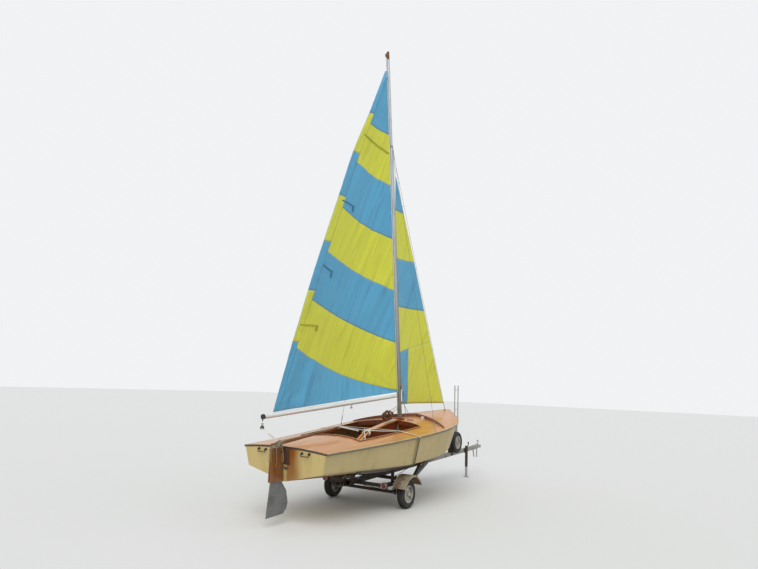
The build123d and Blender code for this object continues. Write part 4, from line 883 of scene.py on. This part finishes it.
def corner_patches():
    """Headboard, rings in the corners, ropes along luff and leech, and the slides in the mast's track."""
    def board_half(u, v):
        return main_point(0.12 + 0.76 * u, 0.02 + 0.10 * v)

    board = [thickened(panel(board_half, 3, 3, 0.005 * side), 0.002) for side in (-1, 1)]
    dressed("headboard", board, BOOM, "spar_alloy", "chrome", 0)
    rings = [ring(main_point(u, k), (0.08, 1, 0), size, 0.0032, 24) for u, k, size in
             ((0.5, 0.07, 0.011), (0.985, MAIN_LAST - 0.03, 0.014), (0.02, MAIN_LAST - 0.2, 0.012))]
    dressed("sail_rings", rings, BOOM, "steel_fitting", "chrome")
    quarters = [k * 0.25 for k in range(4 * MAIN_LAST + 1)]
    dressed("luff_rope", [line([main_point(0.0, k) + MAST_AFT * -0.006 for k in quarters], 0.0042)],
            BOOM, "strap_web", "white_rope")
    dressed("leech_hem", [line([main_point(1.0, k) for k in quarters], 0.0026)], BOOM, "sail_blue")
    head, tack = MAIN_SEAMS[0][3] - 0.1, MAIN_SEAMS[-1][3] + 0.06
    slide = ring((0, 0, 0), (0, 1, 0), 0.012, 0.0026, 16, 6)
    slides = [copied(slide, swing(luff_point(between(head, tack, n / 14))) - MAST_AFT * 0.008)
              for n in range(1, 14)]
    dropped(slide)
    dressed("luff_slides", slides, BOOM, "steel_fitting", "chrome")


# Rigging

def deck_at(x, y):
    """Deck surface at x, y of the source, a few millimetres up."""
    half = DECK_EDGE[-1][1]
    for (x0, b0), (x1, b1) in zip(DECK_EDGE, DECK_EDGE[1:]):
        if x0 <= x <= x1:
            half = between(b0, b1, (x - x0) / (x1 - x0))
    along = (x - TRANSOM_X) / DECK_LONG
    edge = TRANSOM_TOP + DECK_RISE * along + DECK_SHEER * along * along
    return at(x, y, edge + DECK_CROWN * max(0.0, half * half - y * y) + 0.012)


def mast_radius(z):
    return FOOT_RADIUS - MAST_TAPER * (z - MAST_BASE_Z) / MAST_LONG


def boom_point(x, below=0.0, y=0.0):
    """Point on the boom's axis as it lies, or below it."""
    pin = mast_point(GOOSENECK_Z, LUFF_AFT)
    t = (pin.x - (x + AXLE)) / (pin.x - BOOM_END.x)
    return swing(between(pin, BOOM_END, t) + Vector((0, y, -below)))


def running_rigging():
    """Halyards with their cleats and tails, the jib's sheets and a rope's end on the foredeck."""
    halyard = [mast_point(SHEAVE_Z, -0.01, 0.014)] + [
        mast_point(z, -(mast_radius(z) + 0.012), 0.012 + 0.004 * math.sin(z * 2.1))
        for z in (7.4, 6.6, 5.6, 4.6, 3.6, 2.8, 2.1, 1.98)]
    over = [mast_point(8.09, 0.0, 0.014), mast_point(8.098, 0.045, 0.008), mast_point(8.078, 0.086, 0.0),
            swing(luff_point(MAIN_SEAMS[0][3] + 0.03))]
    dressed("main_halyard", [line(halyard, 0.0032), line(over, 0.0032, 2)], BOAT, "wire")
    halyard = [mast_point(z, -0.006 * math.cos(z), -(mast_radius(z) + 0.010))
               for z in (HOUNDS_Z, 5.6, 4.6, 3.6, 2.7, 1.95, 1.86)]
    over = [mast_point(HOUNDS_Z, -0.036, -0.012), jib_point(0.4, 0.0) + Vector((0, 0, 0.03))]
    dressed("jib_halyard", [line(halyard, 0.0030), line(over, 0.0026, 2)], BOAT, "wire")
    cleats, tails = [], []
    for z, y in ((2.02, 1), (1.90, -1)):
        base = mast_point(z, -0.01, y * (mast_radius(z) + 0.004))
        cleats.append(block(base, (0.020, 0.012, 0.052), 0.003))
        cleats.append(line([base + Vector((0, y * out, rise)) for out, rise in
                            ((0.030, -0.062), (0.020, -0.030), (0.020, 0.030), (0.030, 0.062))], 0.0075))
        cleats.append(block(base + Vector((0, y * 0.012, 0)), (0.014, 0.020, 0.020), 0.003))
        base = mast_point(z, -0.01, y * (mast_radius(z) + 0.022))
        turns = [base + Vector((0.017 * math.sin(a), y * (0.006 + 0.0025 * math.sin(a * 0.5)),
                                0.045 * math.sin(a / 2))) for a in [n * math.pi / 4 for n in range(41)]]
        tails.append(line(turns, 0.0042))
        hang = [turns[-1], mast_point(z - 0.10, -0.03, y * 0.066), mast_point(z - 0.28, -0.05, y * 0.072),
                mast_point(1.50, -0.06, y * 0.078), deck_at(1.02, y * 0.10), deck_at(1.10, y * 0.16),
                deck_at(1.04, y * 0.25), deck_at(0.93, y * 0.22), deck_at(0.97, y * 0.13)]
        tails.append(line(hang, 0.0045))
        tails.append(line([mast_point(z - 0.05 - 0.22 * (n % 2) - 0.012 * (n % 3), -0.035 - 0.010 * (n % 3),
                                      y * (0.060 + 0.006 * (n % 4))) for n in range(9)], 0.0042))
    dressed("mast_cleats", cleats, BOAT, "spar_alloy", "chrome")
    dressed("halyard_tails", tails, BOAT, "strap_web", "old_rope")
    clew = jib_point(0.985, JIB_LAST - 0.03)
    sheets = []
    for n, y in enumerate((-0.035, 0.045)):
        rest = at(0.60 - 0.05 * n, y, 1.46)
        sag = between(clew, rest, 0.5) + Vector((0, 0.02 * n, -0.035))
        sheets.append(line([clew, sag, rest, (0.50, y, 1.40)], 0.0045))
    sheets.append(line([clew, clew + Vector((0.14, 0.02, -0.08)), deck_at(1.44, 0.07) + Vector((0, 0, 0.02)),
                        deck_at(1.48, 0.10), deck_at(1.50, 0.02), deck_at(1.40, 0.03)], 0.0040))
    for n in range(3):
        sheets.append(ring(clew + Vector((-0.010, 0.004 * n, -0.012 + 0.006 * n)), (1, 0.5 * (n - 1), 0.4),
                           0.013, 0.0050, 16))
    dressed("jib_sheets", sheets, BOAT, "strap_web", "old_rope")
    heap = [ring(deck_at(1.27 + 0.02 * n, -0.30 + 0.012 * n) + Vector((0, 0, 0.006 + 0.006 * n)),
                 (0.3 * (n % 3 - 1), 0.25 * (n % 2), 1), 0.032 - 0.003 * n, 0.0050) for n in range(5)]
    dressed("foredeck_rope_end", heap, BOAT, "strap_web", "white_rope")


def jib_trim():
    """Hanks on the forestay, rings, the wire in the luff and the lashing at the tack."""
    hanks = []
    stay_top, stay_foot = mast_point(6.34, -0.0385), deck_at(2.83, 0) + Vector((0, 0, 0.03))
    for n in range(8):
        tip = jib_point(0.0, 0.15 + (JIB_LAST - 0.35) * n / 7)
        stay = between(stay_top, stay_foot, (stay_top.z - tip.z - 0.02) / (stay_top.z - stay_foot.z))
        out = (stay - tip).normalized()
        bends = [(tip, -0.012, 0.003, 0), (tip, 0.01, 0.009, 0.004), (stay, 0.009, 0.006, 0),
                 (stay, 0.011, -0.006, 0), (tip, 0.01, -0.009, 0.004), (tip, -0.012, -0.003, 0)]
        shape = [near + out * past + Vector((0, y, rise)) for near, past, y, rise in bends]
        hanks.append(line(shape, 0.0026, 3, 4))
    hanks.append(ring(jib_point(0.985, JIB_LAST - 0.03), (0, 1, 0), 0.012, 0.003))
    hanks.append(ring(jib_point(0.02, JIB_LAST - 0.02), (0, 1, 0), 0.011, 0.003))
    dressed("jib_hanks", hanks, BOAT, "steel_fitting", "chrome")
    dressed("jib_luff_wire", [line([jib_point(0.0, k * 0.25) for k in range(4 * JIB_LAST + 1)], 0.004)],
            BOAT, "strap_web", "white_rope")
    tack, plate = jib_point(0.0, JIB_LAST), deck_at(2.83, 0.0) + Vector((0, 0, 0.035))
    lashing = [line([tack + Vector((0, high, 0)), plate + Vector((0, low, 0))], 0.003, 2)
               for high, low in ((0, 0.005), (-0.004, -0.006))]
    dressed("jib_tack_lashing", lashing, BOAT, "strap_web", "white_rope")


def pulley():
    """Rope block of unit radius along Z: two cheeks and a sheave between them, with a pin."""
    up = Vector((0, 0, 1))
    cheeks = [turned(up * side * 0.32, up * side, [(0, 0.96), (0.12, 1), (0.2, 0.9)], 24) for side in (-1, 1)]
    sheave = turned((0, 0, 0), up, [(-0.3, 0.8), (-0.12, 0.66), (0.12, 0.66), (0.3, 0.8)], 24)
    return joined(cheeks + [sheave, turned((0, 0, 0), up, [(-0.62, 0.16), (0.62, 0.16)], 12)])


def mainsheet():
    """Parts of the sheet below the boom's end, and three blocks. Only the lowest block rides on the boat."""
    pattern = pulley()
    becket = boom_point(-2.328, 0.115)
    upper, lower = becket + Vector((0, 0, -0.030)), at(-2.168, 0.09, 1.085)
    askew = facing((0.3, 1, 0))
    shackle = ring(becket + Vector((0, 0, 0.014)), (1, 0, 0), 0.015, 0.004)
    pieces = [copied(pattern, upper, askew, END_BLOCK), shackle]
    dressed("boom_block", pieces, BOOM, "steel_fitting", "dark_steel")
    shackle = ring(lower + Vector((0.004, 0, -0.036)), (0, 1, 0.2), 0.015, 0.004)
    foot = block(deck_at(-2.118, 0.09) - Vector((0, 0, 0.004)), (0.07, 0.024, 0.008))
    pieces = [copied(pattern, lower, askew, END_BLOCK), shackle, foot]
    dressed("transom_block", pieces, BOAT, "steel_fitting", "dark_steel")
    whips = [[upper + Vector((-0.022, 0, 0)), upper * 0.6 + lower * 0.4 + Vector((-0.030, 0.012, 0)),
              lower + Vector((-0.020, 0.004, 0.02))],
             [upper + Vector((0.022, 0, 0)), upper * 0.5 + lower * 0.5 + Vector((0.010, -0.010, 0)),
              lower + Vector((0.022, 0, 0.01))]]
    dressed("mainsheet_parts", [line(whip, 0.0055) for whip in whips], BOOM, "strap_web", "white_rope")
    wrap = [upper * (0.62 - 0.005 * n) + lower * (0.38 + 0.005 * n)
            + Vector((0.017 * math.cos(n * math.pi / 6) - 0.008, 0.017 * math.sin(n * math.pi / 6), 0))
            for n in range(49)]
    dressed("mainsheet_turns", [line(wrap, 0.0055, 3, 4)], BOOM, "strap_web", "white_rope")
    hang = boom_point(MIDDLE_X, 0.075)
    eye = hang + Vector((0, 0, 0.02))
    round_boom = [boom_point(MIDDLE_X, below, y) for below, y in ((0.0, 0.036), (-0.034, 0.0), (0.0, -0.036))]
    pieces = [copied(pattern, hang, facing((0.1, 1, 0)), MIDDLE_BLOCK),
              line([eye] + round_boom + [eye], 0.003)]
    dressed("boom_middle_block", pieces, BOOM, "steel_fitting", "chrome")
    dropped(pattern)


def rudder_ropes():
    """Turns of old rope round the rudder's head and tiller, their loose ends, and the tiller's extension."""
    turns = []
    for n in range(5):
        loop = []
        for a in [TAU * m / 16 for m in range(17)]:
            lift = 0.008 * math.sin(a * 2 + n) + (0.086 - 0.009 * n) * max(0.0, math.cos(a))
            side = max(-0.030, min(0.030, 0.054 * math.sin(a)))
            loop.append((-2.334 + (0.087 - 0.004 * n) * math.cos(a), side, 1.040 + 0.011 * n + lift))
        turns.append(line(loop, 0.0052))
    for n in range(3):
        turns.append(line([(-2.292 + 0.030 * n, 0.036 * math.cos(a),
                            1.078 + 0.043 * math.sin(a) + 0.01 * math.sin(3 * a))
                           for a in [TAU * m / 12 for m in range(13)]], 0.0052))
    dressed("rudder_rope_turns", turns, RUDDER, "strap_web", "old_rope")
    ends = [
        [(-2.35, -0.034, 1.06), (-2.36, -0.046, 0.98), (-2.34, -0.040, 0.90), (-2.33, -0.036, 0.84),
         (-2.35, -0.036, 0.79)],
        [(-2.24, -0.034, 1.05), (-2.225, -0.058, 0.96), (-2.228, -0.062, 0.88), (-2.235, -0.050, 0.84),
         (-2.245, -0.045, 0.90), (-2.238, -0.046, 0.98)],
        [(-2.40, 0.030, 1.05), (-2.418, 0.034, 0.95), (-2.415, 0.032, 0.86)],
    ]
    dressed("rudder_rope_ends", [line(end, 0.0030) for end in ends], RUDDER, "strap_web", "old_rope")
    along = [(-2.30, -0.020, 1.13), (-2.00, -0.022, 1.152), (-1.70, -0.024, 1.186), (-1.40, -0.026, 1.214),
             (-1.10, -0.022, 1.246), (-0.98, -0.010, 1.268)]
    coils = [at(*along[-1]) + Vector((0.004 * n, 0.020 * math.cos(a), -0.016 + 0.020 * math.sin(a)))
             for n, a in [(n, n * 1.05) for n in range(19)]]
    dressed("tiller_line", [line(along, 0.0042), line(coils, 0.0042)], RUDDER, "strap_web", "old_rope")
    stick = [(-0.985, 0.012, 1.272), (-0.92, 0.008, 1.268), (-0.60, -0.085, 1.205), (-0.53, -0.105, 1.192)]
    extension = [line(stick[1:], 0.011, 2), line(stick[:3], 0.009),
                 ring(at(*stick[0]), (0, 0, 1), 0.012, 0.004)]
    dressed("tiller_extension", extension, RUDDER, "spar_alloy", "white_tube")


def cockpit_ropes():
    """Coil on the trunk's cap and the lashing's white ends across the cockpit."""
    coil = []
    for n in range(9):
        tilt = (math.sin(n * 1.9), 0.9 * math.cos(n * 2.3), 0.35 + 0.3 * math.sin(n * 1.1))
        centre = at(0.52 + 0.035 * math.sin(n * 2.1), 0.025 * math.cos(n * 1.3), 1.398 + 0.008 * (n % 4))
        coil.append(ring(centre, tilt, 0.086 + 0.008 * (n % 3), 0.0085, 28, 8, (1.0, 0.85, 1.0)))
    for n in range(4):
        out, side = math.cos(n * 1.7), math.sin(n * 1.7)
        coil.append(line([(0.52, 0, 1.38), (0.52 + 0.10 * out, 0.08 * side, 1.47),
                          (0.52 + 0.14 * out, 0.10 * side, 1.37 + 0.03 * n)], 0.0070))
    dressed("rope_coil", coil, BOAT, "strap_web", "brown_rope")
    white = [
        [(-0.45, -0.14, 1.165), (-0.30, -0.02, 1.145), (-0.18, 0.03, 1.160), (-0.12, -0.03, 1.175)],
        [(-0.10, 0.50, 1.20), (-0.12, 0.24, 1.185), (-0.14, 0.06, 1.178)],
        [(-0.12, -0.05, 1.180), (-0.10, -0.30, 1.178), (-0.09, -0.56, 1.205)],
        [(-0.42, -0.15, 1.165), (-0.50, -0.22, 1.10), (-0.62, -0.30, 1.055), (-0.70, -0.36, 1.06)],
    ]
    knots = [ring(at(-0.15 + 0.035 * n, 0.02 - 0.03 * n, 1.180 + 0.004 * (n % 2)), (0.4, n - 1.5, 1.2),
                  0.020, 0.0075, 18) for n in range(4)]
    for n in range(3):
        knots.append(line([(-0.14 + 0.014 * n, 0.068 * math.cos(a), 1.130 + 0.046 * math.sin(a) + 0.003 * n)
                           for a in [TAU * m / 12 for m in range(13)]], 0.0055))
    ends = [line(points, 0.0065) for points in white]
    dressed("lashing_rope", ends + knots, BOAT, "strap_web", "white_rope")


def hull_trim():
    """Metal strip along the transom's upper edge, screws and the bow's eye."""
    lean = math.atan2(0.054, 0.402)
    out = Vector((-math.cos(lean), 0, -math.sin(lean)))
    down = Vector((math.sin(lean), 0, -math.cos(lean)))
    half = DECK_EDGE[0][1]

    def edge(u, v):
        y = (u - 0.5) * 2 * 0.730
        rise = DECK_CROWN * (half ** 2 - min(abs(y), half) ** 2) + 0.010
        return at(TRANSOM_X, y, TRANSOM_TOP) + out * 0.0195 + down * (0.026 * v - rise / math.cos(lean))
    dressed("transom_strip", [thickened(panel(edge, 48, 3), 0.003)], BOAT, "steel_fitting", "dark_steel", 30)
    strip_screw = turned((0, 0, 0), out, [(0, 0.0042), (0.0016, 0.0038), (0.0022, 0.0022)], 12)
    pad_screw = turned((0, 0, 0), out, [(0, 0.0045), (0.0016, 0.004), (0.0022, 0.002)], 12)
    screws = [copied(strip_screw, edge(0.03 + 0.94 * n / 14, 0.5) + out * 0.001) for n in range(15)]
    screws += [copied(pad_screw, at(TRANSOM_X, y, TRANSOM_TOP) + out * 0.0245
                      + down * ((TRANSOM_TOP - z) / math.cos(lean)))
               for z in (1.000, 0.905, 0.835) for y in (-0.088, -0.045, 0.045, 0.088)]
    dropped(strip_screw)
    dropped(pad_screw)
    dressed("transom_screws", screws, BOAT, "steel_fitting", "dark_steel")
    eye = [(2.76, 0, 1.06), (2.80, 0.022, 1.055), (2.835, 0.0, 1.048), (2.80, -0.022, 1.055),
           (2.765, 0, 1.05)]
    dressed("bow_eye", [line(eye, 0.005)], BOAT, "steel_fitting", "chrome")


# Trailer

def stud_nut():
    """Washer, hexagon nut and stud end along Z, for a nut of unit radius."""
    up = (0, 0, 1)
    return joined([turned((0, 0, 0), up, [(0, 1.25), (0.22, 1.25)], 16),
                   turned((0, 0, 0.2), up, [(0, 1), (0.85, 1), (1.05, 0.8)], 6),
                   turned((0, 0, 1), up, [(0, 0.5), (0.55, 0.5), (0.65, 0.35)], 10)])


def road_tyre():
    """Ribbed tread, shoulder steps and bead rings along Y, as one ring."""
    w, r, bead = 0.059, 0.2157, 0.120       # half width, tread radius, bead radius
    half = [(0.72 * w, bead), (0.775 * w, bead + 0.012), (0.82 * w, bead + 0.016), (0.80 * w, bead + 0.019),
            (0.93 * w, 0.150), (0.985 * w, 0.160), (1.0 * w, 0.166), (0.985 * w, 0.171), (0.975 * w, 0.190),
            (0.93 * w, 0.1975), (0.90 * w, 0.2005), (0.86 * w, 0.2015), (0.78 * w, 0.2085),
            (0.62 * w, r - 0.0012), (0.44 * w, r), (0.40 * w, r - 0.006), (0.34 * w, r - 0.006),
            (0.30 * w, r), (0.12 * w, r + 0.0002), (0.08 * w, r - 0.006)]
    rows = [(-side, radius) for side, radius in half] + half[::-1] + [(-0.72 * w, bead)]
    tyre = outward(drawn_up(rows, 96, "NOTHING"))
    tyre.rotation_euler = (math.radians(90), 0, 0)
    return settled(tyre)


def wheels(nut):
    """Tyres on the two wheels and the spare, wheel nuts and valves."""
    tyre = road_tyre()
    stem = [(0, 0.0042), (0.020, 0.0038), (0.021, 0.0046), (0.031, 0.0046), (0.033, 0.003)]
    for name, side in (("left", 1), ("right", -1)):
        body = "wheel_" + name
        hub = at(0, side * TRACK / 2, WHEEL_Z)
        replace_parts(dressed("road_tyre_" + name, [copied(tyre, hub)], body, "tyre", None, 28), "tyre_" + name)
        nuts = []
        for a in [0.6 + TAU * n / 5 for n in range(5)]:
            seat = hub + Vector((side * STUD_CIRCLE * math.cos(a), side * 0.0285, STUD_CIRCLE * math.sin(a)))
            nuts.append(copied(nut, seat, facing((0, side, 0)), 0.0062))
        dressed("wheel_nuts_" + name, nuts, body, "steel_fitting", "dark_steel")
        valve = turned(hub + Vector((0.098, side * 0.020, 0.030)), (0.2, side, 0), stem, 12)
        dressed("valve_" + name, [valve], body, "roller_rubber", "tyre")
    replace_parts(dressed("spare_road_tyre", [copied(tyre, SPARE)], BOAT, "tyre", None, 28), "spare_tyre")
    dropped(tyre)


def trailer_trim(nut):
    """Spring bolts and clamps, lamp rims, wiring, safety chains, the jack's grip and the coupler's latch."""
    upright = facing((0, 0.001, 1))
    u_shape = [(-0.030, 0.322), (-0.030, 0.240), (-0.026, 0.216),
               (0.026, 0.216), (0.030, 0.240), (0.030, 0.322)]
    bolts = []
    for side in (-1, 1):
        spring = side * SPRING_Y
        for x in (-0.0312, 0.0312):
            bolts.append(line([(x, spring + y, z) for y, z in u_shape], 0.0055))
            bolts += [copied(nut, at(x, spring + y, 0.306), upright, NUT) for y in (-0.030, 0.030)]
        bolts.append(block(at(0, spring, 0.302), (0.110, 0.086, 0.008)))
        bolts += [copied(nut, at(x, side * 0.5745, 0.406), upright, 0.009) for x in (-0.15, 0.15)]
        bolts += [copied(nut, at(x, side * 0.5465, 0.340), facing((0, side, 0)), NUT)
                  for x in (-0.312, 0.312)]
    for x in (-0.390, 0.400):
        top = TONGUE_Z + TONGUE_RISE * x + 0.046
        bolts += [copied(nut, at(x, y, top - 0.020), upright, 0.009) for y in (-0.048, 0.048)]
        bolts.append(block(at(x, 0, top - 0.002), (0.050, 0.126, 0.006), 0.0015))
    dressed("trailer_bolts", bolts, BOAT, "galvanized")
    rims = []
    for side in (-1, 1):
        centre = at(-0.458, side * 0.562, 0.404)
        rims.append(ring(centre, (-1, 0, 0), 0.046, 0.0042, 36, 10))
        rims.append(turned(centre + Vector((0.034, 0, 0)), (1, 0, 0),
                           [(0, 0.047), (0.006, 0.047), (0.014, 0.030)], 28))
        rims.append(block(centre + Vector((0.048, -side * 0.030, -0.006)), (0.006, 0.090, 0.040), 0.0015))
    dressed("lamp_rims", rims, BOAT, "steel_fitting", "chrome")
    wires = [line([(-0.42, side * 0.552, 0.400), (-0.40, side * 0.50, 0.350), (-0.39, side * 0.30, 0.352),
                   (-0.385, side * 0.10, 0.360), (-0.38, side * 0.052, 0.392)], 0.0032) for side in (-1, 1)]
    wires.append(line([(-0.38, 0.045, 0.385), (0.6, 0.043, 0.425), (1.9, 0.043, 0.480), (3.0, 0.043, 0.525),
                       (4.3, 0.044, 0.585), (4.52, 0.050, 0.560), (4.60, 0.030, 0.575)], 0.0036))
    dressed("trailer_wiring", wires, BOAT, "roller_rubber", "tyre")
    link = ring((0, 0, 0), (0, 0, 1), 0.011, 0.0031, 16, 8, (1.5, 1, 1))
    chain = [copied(link, at(4.47 + 0.002 * n, side * (0.046 - 0.0012 * n), 0.556 - 0.0145 * n),
                    [math.radians(a) for a in (90 * (n % 2), 90, 90 * (n % 2))])
             for side in (-1, 1) for n in range(11)]
    dropped(link)
    dressed("safety_chains", chain, BOAT, "galvanized")
    grip = turned(at(3.920, -0.072, TONGUE_Z + TONGUE_RISE * 3.82 + 0.132), (0, 0, 1),
                  [(0, 0.010), (0.004, 0.013), (0.020, 0.0145), (0.040, 0.013), (0.046, 0.009)])
    dressed("jack_grip", [grip], BOAT, "roller_rubber", "tyre")
    head = TONGUE_Z + TONGUE_RISE * 4.51
    latch = [block(at(4.575, 0, head + 0.046), (0.085, 0.022, 0.010), 0.003, (0, math.radians(-10), 0)),
             line([(4.535, 0, head + 0.048), (4.525, 0, head + 0.066), (4.560, 0, head + 0.074),
                   (4.60, 0, head + 0.060)], 0.0045)]
    latch += [copied(nut, at(x, side * 0.042, head - 0.002), facing((0, side, 0)), NUT)
              for x in (4.42, 4.48) for side in (-1, 1)]
    dressed("coupler_latch", latch, BOAT, "galvanized")


def main():
    camera()
    studio()
    finishes()
    own_look = {name: name for name in ("transom", "mast", "boom", "tongue", "coaming")}
    own_look |= {"lift_handles": "dark_steel", "transom_pad": "pad_wood"}
    for part in frame["record"]["subparts"]:
        node = frame["nodes"][part["node"]]
        node.data.materials.clear()
        node.data.materials.append(LOOKS[own_look.get(part["node"], part["material_slot"])])
    for work in (mainsail, jib, batten_pockets, corner_patches, running_rigging, jib_trim, mainsheet,
                 rudder_ropes, cockpit_ropes, hull_trim):
        work()
    nut = stud_nut()
    wheels(nut)
    trailer_trim(nut)
    dropped(nut)


main()
